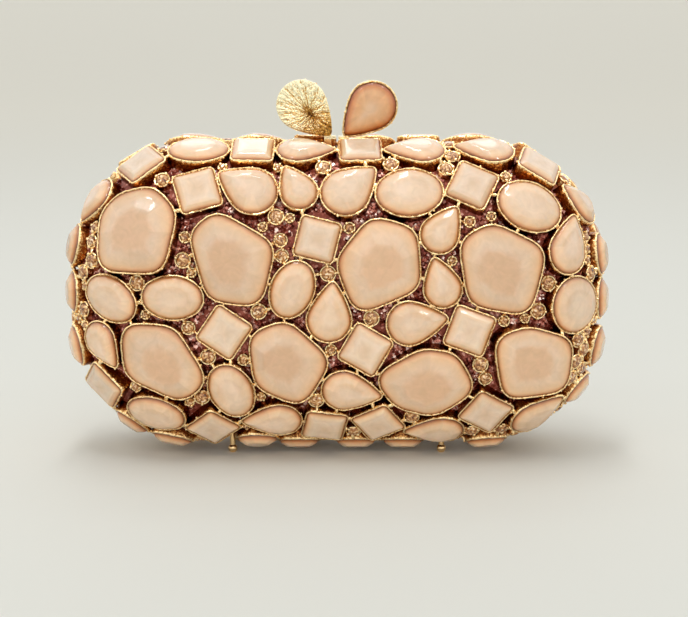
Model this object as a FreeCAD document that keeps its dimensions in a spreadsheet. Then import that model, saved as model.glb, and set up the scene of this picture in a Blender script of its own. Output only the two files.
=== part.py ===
"""Evening clutch of two domed halves set all over with cabochons, in millimetres.

Frame: origin on the floor below the middle of the closed clutch, +X along its width, the front
faces -Y and +Z is up. The back half is the front half turned half a turn about Z.
"""
import FreeCAD, Part
import math
import os
import Sketcher

Vector = FreeCAD.Vector

# Driving sizes, one cell each
SIZES = {
    # domed halves
    "shell_width": 166.0,
    "shell_height": 92.0,
    "corner_radius": 38.0,
    "shell_lift": 6.0,
    "dome_depth": 22.0,
    "flat_corner": 4.0,
    "shell_wall": 1.2,
    # mouth frames and linings
    "band_width": 4.5,
    "frame_wall": 3.2,
    "flange_wall": 1.0,
    "flange_depth": 4.0,
    "lining_wall": 0.8,
    "seam_gap": 0.3,
    "fit_gap": 0.12,
    # hinge under the seam
    "knuckle_length": 10.0,
    "knuckle_radius": 1.9,
    "knuckle_gap": 0.3,
    "hinge_drop": 0.35,
    "leaf_wall": 0.9,
    "leaf_setback": 0.7,
    "tongue_stop": 0.3,
    "pin_radius": 0.8,
    "pin_clearance": 0.05,
    "pin_head_radius": 1.5,
    "pin_head_length": 0.7,
    # feet
    "foot_radius": 1.5,
    "foot_stem_radius": 0.9,
    "foot_flat": 0.25,
    "foot_spread": 68.0,
    "foot_depth": 9.0,
    # settings and stones
    "rim_wall": 0.8,
    "cup_floor": 0.7,
    "cup_height": 2.7,
    "bevel_rise": 1.7,
    "crown_rise": 2.8,
    "cup_spacing": 0.3,
    "oval_length": 18.0,
    "oval_width": 13.0,
    "wide_oval_length": 20.0,
    "wide_oval_width": 15.0,
    "round_diameter": 17.0,
    "pear_length": 18.0,
    "pear_width": 13.0,
    "wide_pear_length": 19.0,
    "wide_pear_width": 14.5,
    "slim_pear_length": 15.0,
    "slim_pear_width": 11.0,
    "pear_tip_radius": 0.9,
    "square_side": 12.2,
    "square_corner": 1.2,
    "large_span": 29.6,
    "large_corner": 4.8,
    "edge_length": 12.0,
    "edge_width": 8.0,
    "rhinestone_diameter": 3.2,
    "rhinestone_rim": 0.5,
    "rhinestone_pitch": 5.2,
    "rhinestone_cup_height": 2.2,
    "rhinestone_rise": 0.9,
    # clasp
    "clasp_offset": 3.0,
    "clasp_base_width": 6.6,
    "clasp_base_wall": 0.5,
    "clasp_spring_wall": 0.25,
    "clasp_eye_radius": 1.2,
    "clasp_eye_wall": 1.7,
    "clasp_ear_wall": 0.9,
    "clasp_seam_gap": 0.6,
    "clasp_rivet_radius": 0.55,
    "clasp_head_radius": 1.0,
    "clasp_head_length": 0.3,
    "clasp_stem_width": 2.2,
    "clasp_stem_rise": 4.2,
    "clasp_nib_wall": 0.9,
    "clasp_nib_gap": 0.45,
    "clasp_nib_reach": 1.2,
    "clasp_knob_length": 20.0,
    "clasp_knob_width": 14.8,
    "clasp_knob_lift": 1.2,
    "clasp_knob_shift": 0.9,
    "clasp_back_wall": 1.0,
    # chain lugs
    "lug_radius": 3.4,
    "lug_bore_radius": 2.0,
    "lug_wall": 1.4,
    "lug_setback": 1.5,
    # how far a cut runs past what it cuts
    "cut_overrun": 1.0,
    # the eye from which the stones were placed
    "view_distance": 650.0,
}

# Shares of the sizes that they follow
OVAL_END_SHARE = 0.4
PEAR_FLANK_SHARE = 1.67
BEVEL_SHARE = 0.86
TABLE_SHARE = 0.55
RHINESTONE_TABLE_SHARE = 0.6
EDGE_LINE_SHARE = 0.75
TRIM_SHARE = 0.97
TOUCHING_SHARE = 1e-6

# Angles in degrees and counts
KNOB_LEAN = 44.0
VIEW_ELEVATION = 9.0
DOME_SECTIONS = 8
KNUCKLES = 6
SETTLE_ROUNDS = 70
TRIM_ROUNDS = 30
PROBE_ANGLES = (0, 15, -15, 30, -30, 45, -45, 60, -60)
PROBE_COUNT = 48
HALVINGS = 50

# The photograph's pixel at the clutch's middle, and the shell's width and height in its pixels
MIDDLE_PIXEL = (337.0, 290.0)
SHELL_PIXELS = (508.0, 281.5)

# Stones by kind: the pixel at the centre, and the turn of the long axis or tip in degrees
OVAL_PIXELS = (
    (188, 150, 4), (107, 295, -25), (180, 297, -3), (297, 292, 68), (228, 388, -68), (153, 407, -4),
)
WIDE_OVAL_PIXELS = ((413, 186, 3), (538, 206, -16))
ROUND_PIXELS = ((576, 308, 0),)
PEAR_PIXELS = (
    (295, 146, 2), (414, 147, 178), (490, 150, 170), (573, 248, 70), (335, 319, 84),
    (413, 322, 8), (359, 395, -10), (262, 422, 183), (443, 431, 184), (541, 413, 24),
)
WIDE_PEAR_PIXELS = ((244, 183, 150), (350, 192, 42))
SLIM_PEAR_PIXELS = (
    (297, 185, 118), (443, 227, 57), (442, 280, 106), (98, 194, 250), (97, 333, 303), (579, 198, 128),
)
SQUARE_PIXELS = (
    (133, 163, 32), (243, 144, -2), (354, 147, 2), (537, 162, -16), (194, 187, 16), (313, 240, -14),
    (486, 184, -25), (224, 329, -34), (472, 327, -20), (373, 356, -30), (110, 378, -48),
    (205, 424, -42), (319, 425, -10), (385, 425, 32), (489, 412, -34),
)
EDGE_PIXELS = (
    (75, 231, 88), (70, 286, 90), (82, 340, 92), (603, 249, 90), (606, 291, 90), (597, 342, 88),
    (168, 443, -6), (236, 447, 0), (296, 449, 2), (349, 449, 0), (424, 449, -2), (486, 447, 2),
    (108, 412, -40), (560, 420, 38),
)
LARGE_PIXELS = (
    (132, 229), (236, 251), (379, 256), (504, 263), (160, 356), (286, 364), (434, 382), (533, 361),
)
# Centres of each large stone's rounded corners, as shares of the large span
LARGE_CORNER_SHARES = (
    ((-0.24, -0.26), (-0.25, 0.10), (-0.14, 0.23), (0.10, 0.29), (0.25, 0.15), (0.18, -0.26)),
    ((-0.24, 0.22), (-0.13, 0.31), (0.27, 0.08), (0.18, -0.30), (-0.11, -0.26)),
    ((-0.01, 0.31), (0.24, 0.24), (0.27, -0.14), (-0.13, -0.31), (-0.25, 0.01)),
    ((-0.26, 0.22), (-0.10, 0.30), (0.27, 0.12), (0.17, -0.29), (-0.19, -0.22)),
    ((-0.26, 0.21), (0.03, 0.20), (0.26, -0.18), (0.16, -0.26), (-0.24, -0.09)),
    ((-0.22, 0.20), (-0.04, 0.27), (0.25, 0.00), (0.09, -0.27), (-0.18, -0.15)),
    ((-0.32, 0.02), (0.00, 0.21), (0.20, 0.18), (0.32, -0.04), (0.07, -0.21), (-0.20, -0.14)),
    ((-0.25, 0.21), (-0.08, 0.25), (0.26, 0.14), (0.25, -0.16), (-0.16, -0.19)),
)
RHINESTONE_PIXELS = (
    (159, 173), (184, 220), (273, 210), (323, 162), (395, 156), (458, 149), (456, 168), (182, 260),
    (139, 284), (143, 305), (258, 311), (208, 358), (198, 396), (328, 274), (370, 318), (335, 356),
    (320, 401), (350, 431), (418, 424), (551, 284), (542, 311), (480, 360), (87, 260), (79, 272),
    (80, 309), (91, 354), (596, 276), (603, 288), (583, 340), (584, 362), (577, 375), (574, 385),
    (567, 396), (166, 428), (179, 432), (564, 169), (508, 429), (471, 434), (120, 407), (148, 152),
    (215, 140), (268, 136), (326, 137), (384, 138), (446, 136), (516, 146), (110, 178), (556, 160),
)

HALF_TURN = FreeCAD.Placement(Vector(0, 0, 0), FreeCAD.Rotation(Vector(0, 0, 1), 180))
ALONG_X = FreeCAD.Rotation(Vector(0, 1, 0), 90)
ALONG_Y = FreeCAD.Rotation(Vector(1, 0, 0), -90)

doc = FreeCAD.newDocument("Clutch")
sheet = doc.addObject("Spreadsheet::Sheet", "Size")
for row, (alias, value) in enumerate(SIZES.items(), 1):
    sheet.set("A%d" % row, alias)
    sheet.set("B%d" % row, str(value))
    sheet.setAlias("B%d" % row, alias)
doc.recompute()
VALUES = {alias: float(sheet.get(alias)) for alias in SIZES}


def size(alias):
    """The sheet's value for one driving size."""
    return VALUES[alias]


def number(expression):
    """The present value of an expression on the sheet's cells."""
    found = sheet.evalExpression(expression)
    return float(getattr(found, "Value", found))


def bind(obj, **expressions):
    """Tie an object's properties to expressions; two underscores stand for a point."""
    for name, expression in expressions.items():
        obj.setExpression(name.replace("__", "."), expression)


MIDDLE_HEIGHT = "Size.shell_lift + Size.shell_height / 2"
SHELL_TOP = "Size.shell_lift + Size.shell_height"
DOME_REACH = "(Size.corner_radius - Size.flat_corner)"
HINGE_HEIGHT = "Size.shell_lift - Size.knuckle_radius - Size.hinge_drop"
BORE_RADIUS = "Size.pin_radius + Size.pin_clearance"
MIDDLE = number(MIDDLE_HEIGHT)
REACH = number(DOME_REACH)


# Mouth outlines and the pieces that follow them

def mouth_sketch(body, name, offset, insets):
    """Concentric rounded rectangles in a plane across the clutch's depth.

    Each follows the shell's outline, drawn in by one of the insets, and the plane stands the
    offset in front of the seam.
    """
    plane = next(f for f in body.Origin.OriginFeatures if f.Role == "XZ_Plane")
    sketch = body.newObject("Sketcher::SketchObject", name)
    sketch.AttachmentSupport = [(plane, "")]
    sketch.MapMode = "FlatFace"
    bind(sketch, AttachmentOffset__Base__y=MIDDLE_HEIGHT, AttachmentOffset__Base__z=offset)
    for index, inset in enumerate(insets):
        add_rounded_rectangle(sketch, index, inset)
    return sketch


def add_rounded_rectangle(sketch, index, inset):
    """One rounded rectangle about the sketch's origin, tied to the sheet."""
    width = "Size.shell_width - 2 * (%s)" % inset
    height = "Size.shell_height - 2 * (%s)" % inset
    radius = "Size.corner_radius - (%s)" % inset
    right = number(width) / 2
    top = number(height) / 2
    corner = number(radius)
    first = sketch.GeometryCount
    corners = [(right, top), (-right, top), (-right, -top), (right, -top)]
    for quarter, (x, y) in enumerate(corners):
        centre = Vector(math.copysign(right - corner, x), math.copysign(top - corner, y), 0)
        circle = Part.Circle(centre, Vector(0, 0, 1), corner)
        start = quarter * math.pi / 2
        sketch.addGeometry(Part.ArcOfCircle(circle, start, start + math.pi / 2), False)
    for quarter in range(4):
        begin = sketch.getPoint(first + quarter, 2)
        end = sketch.getPoint(first + (quarter + 1) % 4, 1)
        sketch.addGeometry(Part.LineSegment(begin, end), False)

    def constrain(*args):
        """Add one constraint and give its number."""
        return sketch.addConstraint(Sketcher.Constraint(*args))

    for quarter in range(4):
        arc = first + quarter
        line = first + 4 + quarter
        constrain("Tangent", arc, 2, line, 1)
        constrain("Tangent", line, 2, first + (quarter + 1) % 4, 1)
        constrain("Horizontal" if quarter % 2 == 0 else "Vertical", line)
    for quarter in range(1, 4):
        constrain("Equal", first, first + quarter)
    constrain("Symmetric", first, 3, first + 2, 3, -1, 1)
    for label, kind, numbers, expression in (
        ("radius", "Radius", (first, corner), radius),
        ("width", "DistanceX", (first + 1, 2, first, 1, 2 * right), width),
        ("height", "DistanceY", (first + 2, 2, first, 2, 2 * top), height),
    ):
        place = constrain(kind, *numbers)
        sketch.renameConstraint(place, "%s_%d" % (label, index))
        sketch.setExpression("Constraints.%s_%d" % (label, index), expression)


def dome_sections(body, name, inset):
    """Sketches of one dome, from the mouth to its flat top, drawn in by the inset."""
    sections = []
    for step in range(DOME_SECTIONS):
        angle = 90.0 * step / (DOME_SECTIONS - 1)
        drawn = "(%s) + (%s - (%s)) * (1 - cos(%.6f deg))" % (inset, DOME_REACH, inset, angle)
        offset = "Size.band_width + (Size.dome_depth - (%s)) * sin(%.6f deg)" % (inset, angle)
        sections.append(mouth_sketch(body, "%s_%d" % (name, step), offset, [drawn]))
    return sections


def dome_pan(label, inset, wall, turn):
    """A hollow domed pan: an outer loft with an inner loft taken out of it."""
    body = doc.addObject("PartDesign::Body", label)
    outer = dome_sections(body, label + "_outer", inset)
    loft = body.newObject("PartDesign::AdditiveLoft", label + "_dome")
    loft.Profile = outer[0]
    loft.Sections = outer[1:]
    doc.recompute()
    inner = dome_sections(body, label + "_inner", "(%s) + (%s)" % (inset, wall))
    hollow = body.newObject("PartDesign::SubtractiveLoft", label + "_hollow")
    hollow.Profile = inner[0]
    hollow.Sections = inner[1:]
    body.Placement = turn
    return body


def mouth_frame(label, turn):
    """The metal frame at the mouth: a band, and a flange that the pan is pressed over."""
    body = doc.addObject("PartDesign::Body", label)
    band = mouth_sketch(body, label + "_band", "Size.seam_gap / 2", ["0", "Size.frame_wall"])
    pad = body.newObject("PartDesign::Pad", label + "_band_pad")
    pad.Profile = band
    bind(pad, Length="Size.band_width - Size.seam_gap / 2 - Size.fit_gap")
    flange = mouth_sketch(
        body, label + "_flange", "Size.band_width - Size.fit_gap",
        ["Size.frame_wall - Size.flange_wall", "Size.frame_wall"],
    )
    doc.recompute()
    rise = body.newObject("PartDesign::Pad", label + "_flange_pad")
    rise.Profile = flange
    bind(rise, Length="Size.flange_depth")
    body.Placement = turn
    return body


# Blocks, rods and joined pieces

def block(name, x, y, z, length, width, height):
    """A block from its low corner and its three sides."""
    made = doc.addObject("Part::Box", name)
    bind(made, Length=length, Width=width, Height=height)
    bind(made, Placement__Base__x=x, Placement__Base__y=y, Placement__Base__z=z)
    return made


def rod(name, x, y, z, radius, length, rotation):
    """A round rod from the middle of its first end, along X, Y or Z."""
    made = doc.addObject("Part::Cylinder", name)
    made.Placement = FreeCAD.Placement(Vector(0, 0, 0), rotation)
    bind(made, Radius=radius, Height=length)
    bind(made, Placement__Base__x=x, Placement__Base__y=y, Placement__Base__z=z)
    return made


def joined(name, pieces):
    """Several overlapping pieces as one solid."""
    made = doc.addObject("Part::MultiFuse", name)
    made.Shapes = pieces
    return made


def taken(name, base, tool):
    """A piece with another taken out of it."""
    made = doc.addObject("Part::Cut", name)
    made.Base = base
    made.Tool = tool
    return made


def grouped(name, pieces):
    """Separate solids that share one node."""
    made = doc.addObject("Part::Compound", name)
    made.Links = pieces
    return made


def hinge_leaf(label, turn):
    """A leaf under the frame, with every second knuckle of the barrel."""
    half_barrel = "Size.knuckle_length * %d / 2" % KNUCKLES
    top = "Size.shell_lift - Size.fit_gap"
    setback = "Size.knuckle_radius + Size.leaf_setback"
    pieces = [block(
        label + "_plate", "-(%s) + Size.knuckle_gap / 2" % half_barrel, "Size.fit_gap - Size.band_width",
        top + " - Size.leaf_wall", "2 * (%s) - Size.knuckle_gap" % half_barrel,
        "Size.band_width - Size.fit_gap - (%s)" % setback, "Size.leaf_wall",
    )]
    for index in range(0, KNUCKLES, 2):
        start = "Size.knuckle_length * %d - (%s) + Size.knuckle_gap / 2" % (index, half_barrel)
        length = "Size.knuckle_length - Size.knuckle_gap"
        pieces.append(rod(
            "%s_knuckle_%d" % (label, index), start, "0", HINGE_HEIGHT,
            "Size.knuckle_radius", length, ALONG_X,
        ))
        pieces.append(block(
            "%s_tongue_%d" % (label, index), start, "-(%s)" % setback, top + " - Size.leaf_wall",
            length, "%s - Size.tongue_stop" % setback, "Size.leaf_wall",
        ))
    bore = rod(
        label + "_bore", "-(%s)" % half_barrel, "0", HINGE_HEIGHT,
        BORE_RADIUS, "2 * (%s)" % half_barrel, ALONG_X,
    )
    leaf = taken(label, joined(label + "_blank", pieces), bore)
    leaf.Placement = turn
    return leaf


def hinge_pin(label):
    """The pin through the barrel, with an upset head at each end."""
    half_barrel = "Size.knuckle_length * %d / 2" % KNUCKLES
    head = "Size.pin_head_length"
    pin = rod(
        label + "_rod", "-(%s) - %s" % (half_barrel, head), "0", HINGE_HEIGHT, "Size.pin_radius",
        "2 * (%s) + 2 * %s" % (half_barrel, head), ALONG_X,
    )
    left = rod(
        label + "_left_head", "-(%s) - %s" % (half_barrel, head), "0", HINGE_HEIGHT,
        "Size.pin_head_radius", head, ALONG_X,
    )
    right = rod(label + "_right_head", half_barrel, "0", HINGE_HEIGHT, "Size.pin_head_radius", head, ALONG_X)
    return joined(label, [pin, left, right])


def bead_feet(label, turn):
    """Two bead feet on stems below the pan, ground flat where they stand."""
    reach = "(Size.foot_depth - Size.foot_stem_radius - Size.band_width) / Size.dome_depth"
    seat = "Size.shell_lift + %s * (1 - sqrt(1 - pow(%s; 2)))" % (DOME_REACH, reach)
    middle = "Size.foot_radius - Size.foot_flat"
    feet = []
    for index, side in enumerate((-1, 1)):
        x = "%d * Size.foot_spread / 2" % side
        name = "%s_%d" % (label, index)
        bead = doc.addObject("Part::Sphere", name + "_bead")
        bind(bead, Radius="Size.foot_radius")
        bind(bead, Placement__Base__x=x, Placement__Base__y="-Size.foot_depth", Placement__Base__z=middle)
        stem = rod(
            name + "_stem", x, "-Size.foot_depth", middle, "Size.foot_stem_radius",
            "%s - Size.fit_gap - (%s)" % (seat, middle), FreeCAD.Rotation(),
        )
        ground = block(
            name + "_ground", "%s - Size.foot_radius" % x, "-Size.foot_depth - Size.foot_radius",
            "-Size.foot_radius", "2 * Size.foot_radius", "2 * Size.foot_radius", "Size.foot_radius",
        )
        feet.append(taken(name, joined(name + "_blank", [bead, stem]), ground))
    made = grouped(label, feet)
    made.Placement = turn
    return made


def chain_lugs(label, turn):
    """Two eyes inside the back frame's ends, for a carrying chain's clips."""
    reach = "Size.shell_width / 2 - Size.frame_wall - Size.fit_gap"
    lugs = []
    for index, side in enumerate((-1, 1)):
        name = "%s_%d" % (label, index)
        middle = "%d * (%s - Size.lug_radius)" % (side, reach)
        depth = "-Size.lug_setback - Size.lug_wall"
        eye = rod(name + "_eye", middle, depth, MIDDLE_HEIGHT, "Size.lug_radius", "Size.lug_wall", ALONG_Y)
        outer_end = "%s - Size.lug_radius" % reach if side > 0 else "-(%s)" % reach
        tail = block(
            name + "_tail", outer_end, depth, "%s - Size.lug_radius" % MIDDLE_HEIGHT,
            "Size.lug_radius", "Size.lug_wall", "2 * Size.lug_radius",
        )
        bore = rod(
            name + "_bore", middle, "%s - Size.cut_overrun" % depth, MIDDLE_HEIGHT,
            "Size.lug_bore_radius", "Size.lug_wall + 2 * Size.cut_overrun", ALONG_Y,
        )
        lugs.append(taken(name, joined(name + "_blank", [eye, tail]), bore))
    made = grouped(label, lugs)
    made.Placement = turn
    return made


# Clasp: a clevis on the frame carries a knob that tilts on a rivet against a leaf spring
CLASP_FRONT = "-Size.clasp_seam_gap - 2 * Size.clasp_ear_wall - Size.clasp_eye_wall - 2 * Size.fit_gap"
CLASP_BASE = SHELL_TOP + " + Size.fit_gap"
CLASP_SPRING = CLASP_BASE + " + Size.clasp_base_wall + Size.fit_gap / 2"
CLASP_PIVOT = (
    CLASP_SPRING + " + Size.clasp_spring_wall + Size.fit_gap / 2 + Size.clasp_eye_radius"
)
CLASP_EYE_FRONT = "-Size.clasp_seam_gap - Size.clasp_ear_wall - Size.fit_gap - Size.clasp_eye_wall"
RIVET_BORE = "Size.clasp_rivet_radius + Size.pin_clearance"


def clasp_bracket(label, turn):
    """A base plate with two round-topped ears."""
    base = block(
        label + "_base", "Size.clasp_offset - Size.clasp_base_width / 2", CLASP_FRONT, CLASP_BASE,
        "Size.clasp_base_width", "-Size.clasp_seam_gap - (%s)" % CLASP_FRONT, "Size.clasp_base_wall",
    )
    pieces = [base]
    for index, depth in enumerate((CLASP_FRONT, "-Size.clasp_seam_gap - Size.clasp_ear_wall")):
        pieces.append(rod(
            "%s_ear_%d" % (label, index), "Size.clasp_offset", depth, CLASP_PIVOT,
            "Size.clasp_eye_radius", "Size.clasp_ear_wall", ALONG_Y,
        ))
        pieces.append(block(
            "%s_cheek_%d" % (label, index), "Size.clasp_offset - Size.clasp_eye_radius", depth, CLASP_BASE,
            "2 * Size.clasp_eye_radius", "Size.clasp_ear_wall", "%s - (%s)" % (CLASP_PIVOT, CLASP_BASE),
        ))
    bore = rod(
        label + "_bore", "Size.clasp_offset", CLASP_FRONT, CLASP_PIVOT, RIVET_BORE,
        "-(%s)" % CLASP_FRONT, ALONG_Y,
    )
    made = taken(label, joined(label + "_blank", pieces), bore)
    made.Placement = turn
    return made


def clasp_rivet(label, turn):
    """The rivet through the ears, with a head on each."""
    shank = rod(
        label + "_shank", "Size.clasp_offset", "%s - Size.clasp_head_length" % CLASP_FRONT, CLASP_PIVOT,
        "Size.clasp_rivet_radius", "2 * Size.clasp_head_length - Size.clasp_seam_gap - (%s)" % CLASP_FRONT,
        ALONG_Y,
    )
    front = rod(
        label + "_front_head", "Size.clasp_offset", "%s - Size.clasp_head_length" % CLASP_FRONT, CLASP_PIVOT,
        "Size.clasp_head_radius", "Size.clasp_head_length", ALONG_Y,
    )
    rear = rod(
        label + "_rear_head", "Size.clasp_offset", "-Size.clasp_seam_gap", CLASP_PIVOT,
        "Size.clasp_head_radius", "Size.clasp_head_length", ALONG_Y,
    )
    made = joined(label, [shank, front, rear])
    made.Placement = turn
    return made


def clasp_spring(label, turn):
    """A flat spring on the base, under the knob's eye."""
    strip = block(
        label + "_strip", "Size.clasp_offset - Size.clasp_base_width / 2 + Size.fit_gap",
        "%s + Size.fit_gap / 2" % CLASP_EYE_FRONT, CLASP_SPRING,
        "Size.clasp_base_width - 2 * Size.fit_gap", "Size.clasp_eye_wall - Size.fit_gap",
        "Size.clasp_spring_wall",
    )
    made = grouped(label, [strip])
    made.Placement = turn
    return made


# Outlines of stones: tangent arcs taken counterclockwise, each (u, v, radius, start, end)

def hull_arcs(centres, radius):
    """The outline that wraps equal circles about the corners of a convex figure."""
    middle_u = sum(c[0] for c in centres) / len(centres)
    middle_v = sum(c[1] for c in centres) / len(centres)
    ring = sorted(centres, key=lambda c: math.atan2(c[1] - middle_v, c[0] - middle_u))
    arcs = []
    for index, here in enumerate(ring):
        before = ring[index - 1]
        after = ring[(index + 1) % len(ring)]
        start = math.atan2(here[1] - before[1], here[0] - before[0]) - math.pi / 2
        end = math.atan2(after[1] - here[1], after[0] - here[0]) - math.pi / 2
        arcs.append((here[0], here[1], radius, start, start + (end - start) % (2 * math.pi)))
    return arcs


def square_arcs(side, corner):
    """A square with rounded corners."""
    reach = side / 2 - corner
    return hull_arcs([(reach, reach), (-reach, reach), (-reach, -reach), (reach, -reach)], corner)


def round_arcs(diameter):
    """A circle in four quarters."""
    quarter = math.pi / 2
    return [(0.0, 0.0, diameter / 2, quarter * k, quarter * (k + 1)) for k in range(4)]


def oval_arcs(length, width):
    """An oval of two end arcs and two flank arcs that meet in tangency."""
    end = OVAL_END_SHARE * width
    reach = length / 2 - end
    flank = (reach ** 2 + (width / 2) ** 2 - end ** 2) / (width - 2 * end)
    drop = width / 2 - flank
    meet = math.atan2(-drop, reach)
    return [
        (reach, 0.0, end, -meet, meet),
        (0.0, drop, flank, meet, math.pi - meet),
        (-reach, 0.0, end, math.pi - meet, math.pi + meet),
        (0.0, -drop, flank, math.pi + meet, 2 * math.pi - meet),
    ]


def pear_arcs(length, width, tip):
    """A pear with its tip along +u: a round end, two full flanks and a small round tip."""
    blunt = width / 2
    reach = length - blunt - tip
    flank = PEAR_FLANK_SHARE * length
    u = (reach ** 2 - (flank - tip) ** 2 + (flank - blunt) ** 2) / (2 * reach)
    v = math.sqrt((flank - blunt) ** 2 - u ** 2)
    meet_blunt = math.atan2(v, -u)
    meet_tip = math.atan2(v, reach - u)
    shift = (length - 2 * blunt) / 2
    return [
        (reach - shift, 0.0, tip, -meet_tip, meet_tip),
        (u - shift, -v, flank, meet_tip, meet_blunt),
        (-shift, 0.0, blunt, meet_blunt, 2 * math.pi - meet_blunt),
        (u - shift, v, flank, 2 * math.pi - meet_blunt, 2 * math.pi - meet_tip),
    ]


def grown(arcs, by):
    """An outline moved outwards by a distance, or inwards where it is negative."""
    return [(u, v, radius + by, start, end) for u, v, radius, start, end in arcs]


def scaled(arcs, share):
    """An outline drawn smaller about its own centre."""
    return [(u * share, v * share, radius * share, start, end) for u, v, radius, start, end in arcs]


def reach_of(arcs, angle):
    """How far an outline reaches from its centre in one direction."""
    for u, v, radius, start, end in arcs:
        if (angle - start) % (2 * math.pi) <= end - start:
            return u * math.cos(angle) + v * math.sin(angle) + radius
    return max(u * math.cos(angle) + v * math.sin(angle) for u, v, _, _, _ in arcs)


def radius_of(arcs):
    """The radius of the circle about an outline's centre that holds it all."""
    return max(reach_of(arcs, 2 * math.pi * k / PROBE_COUNT) for k in range(PROBE_COUNT))


def outline_wire(arcs, level):
    """The closed wire of an outline at one height."""
    axis = Vector(0, 0, 1)
    edges = []
    runs = []
    for u, v, radius, start, end in arcs:
        circle = Part.Circle(Vector(u, v, level), axis, radius)
        runs.append(Part.ArcOfCircle(circle, start, end).toShape())
    for index, run in enumerate(runs):
        edges.append(run)
        begin = run.valueAt(run.LastParameter)
        end = runs[(index + 1) % len(runs)]
        finish = end.valueAt(end.FirstParameter)
        if not begin.isEqual(finish, TOUCHING_SHARE * radius_of(arcs)):
            edges.append(Part.LineSegment(begin, finish).toShape())
    return Part.Wire(edges)


def cup_solid(arcs, rim, floor, height):
    """A flat-bottomed cup about a stone's outline, with its seat open to the top."""
    outer = Part.Face(outline_wire(grown(arcs, rim), 0)).extrude(Vector(0, 0, height))
    seat = Part.Face(outline_wire(grown(arcs, size("fit_gap")), floor)).extrude(Vector(0, 0, height))
    return outer.cut(seat)


def stone_solid(arcs, floor, height):
    """A cut stone: a straight girdle in the cup, a steep bevel and a low crown to its table."""
    bottom = floor + size("fit_gap")
    levels = (
        (1, bottom), (1, height), (BEVEL_SHARE, height + size("bevel_rise")),
        (TABLE_SHARE, height + size("crown_rise")),
    )
    wires = [outline_wire(scaled(arcs, share), level) for share, level in levels]
    return Part.makeLoft(wires, True, True)


def rhinestone_solid(arcs, floor, height):
    """A small round stone: a straight girdle and a crown to its table."""
    levels = (
        (1, floor + size("fit_gap")), (1, height),
        (RHINESTONE_TABLE_SHARE, height + size("rhinestone_rise")),
    )
    wires = [outline_wire(scaled(arcs, share), level) for share, level in levels]
    return Part.makeLoft(wires, True, True)


# The dome that the settings sit on

def mouth_distance(x, z):
    """Distance outside the dome's flat top, and the direction away from it."""
    top_right = size("shell_width") / 2 - size("corner_radius")
    top_up = size("shell_height") / 2 - size("corner_radius")
    corner = size("flat_corner")
    over_x = abs(x) - top_right
    over_z = abs(z) - top_up
    sign_x = math.copysign(1, x)
    sign_z = math.copysign(1, z)
    if over_x > 0 and over_z > 0:
        length = math.hypot(over_x, over_z)
        return length - corner, sign_x * over_x / length, sign_z * over_z / length
    if over_x > over_z:
        return over_x - corner, sign_x, 0.0
    return over_z - corner, 0.0, sign_z


def on_dome(point):
    """The dome's point nearest to a point along its profile, and the outward normal there."""
    depth = size("dome_depth")
    away, dir_x, dir_z = mouth_distance(point.x, point.z - MIDDLE)
    front = -point.y - size("band_width")
    if away <= 0:
        return Vector(point.x, -size("band_width") - depth, point.z), Vector(0, -1, 0)
    angle = math.atan2(max(front, 0.0) / depth, away / REACH)
    slide = REACH * math.cos(angle) - away
    seat = Vector(
        point.x + dir_x * slide, -size("band_width") - depth * math.sin(angle), point.z + dir_z * slide,
    )
    normal = Vector(
        dir_x * math.cos(angle) / REACH, -math.sin(angle) / depth, dir_z * math.cos(angle) / REACH,
    )
    return seat, normal.normalize()


def inside_dome(point, lift):
    """Whether a point is within the dome, raised by a lift."""
    away = max(0.0, mouth_distance(point.x, point.z - MIDDLE)[0])
    front = max(0.0, -point.y - size("band_width"))
    return math.hypot(away / (REACH + lift), front / (size("dome_depth") + lift)) < 1


def sight_point(pixel):
    """Where the line of sight through a pixel crosses the upright plane of the seam, tilted to the eye."""
    across = (pixel[0] - MIDDLE_PIXEL[0]) / SHELL_PIXELS[0] * size("shell_width")
    up = (MIDDLE_PIXEL[1] - pixel[1]) / SHELL_PIXELS[1] * size("shell_height")
    tilt = math.radians(VIEW_ELEVATION)
    return Vector(across, up * math.sin(tilt), MIDDLE + up * math.cos(tilt))


def seen_seat(pixel, lift):
    """The dome's point under a stone that shows at a pixel: the line of sight is halved until it meets."""
    tilt = math.radians(VIEW_ELEVATION)
    distance = size("view_distance")
    eye = Vector(0, -distance * math.cos(tilt), MIDDLE + distance * math.sin(tilt))
    far = sight_point(pixel)
    if not inside_dome(far, lift):
        return on_dome(far)[0]
    near = eye
    for _ in range(HALVINGS):
        middle = (near + far) / 2
        if inside_dome(middle, lift):
            far = middle
        else:
            near = middle
    return on_dome(far)[0]


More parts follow.
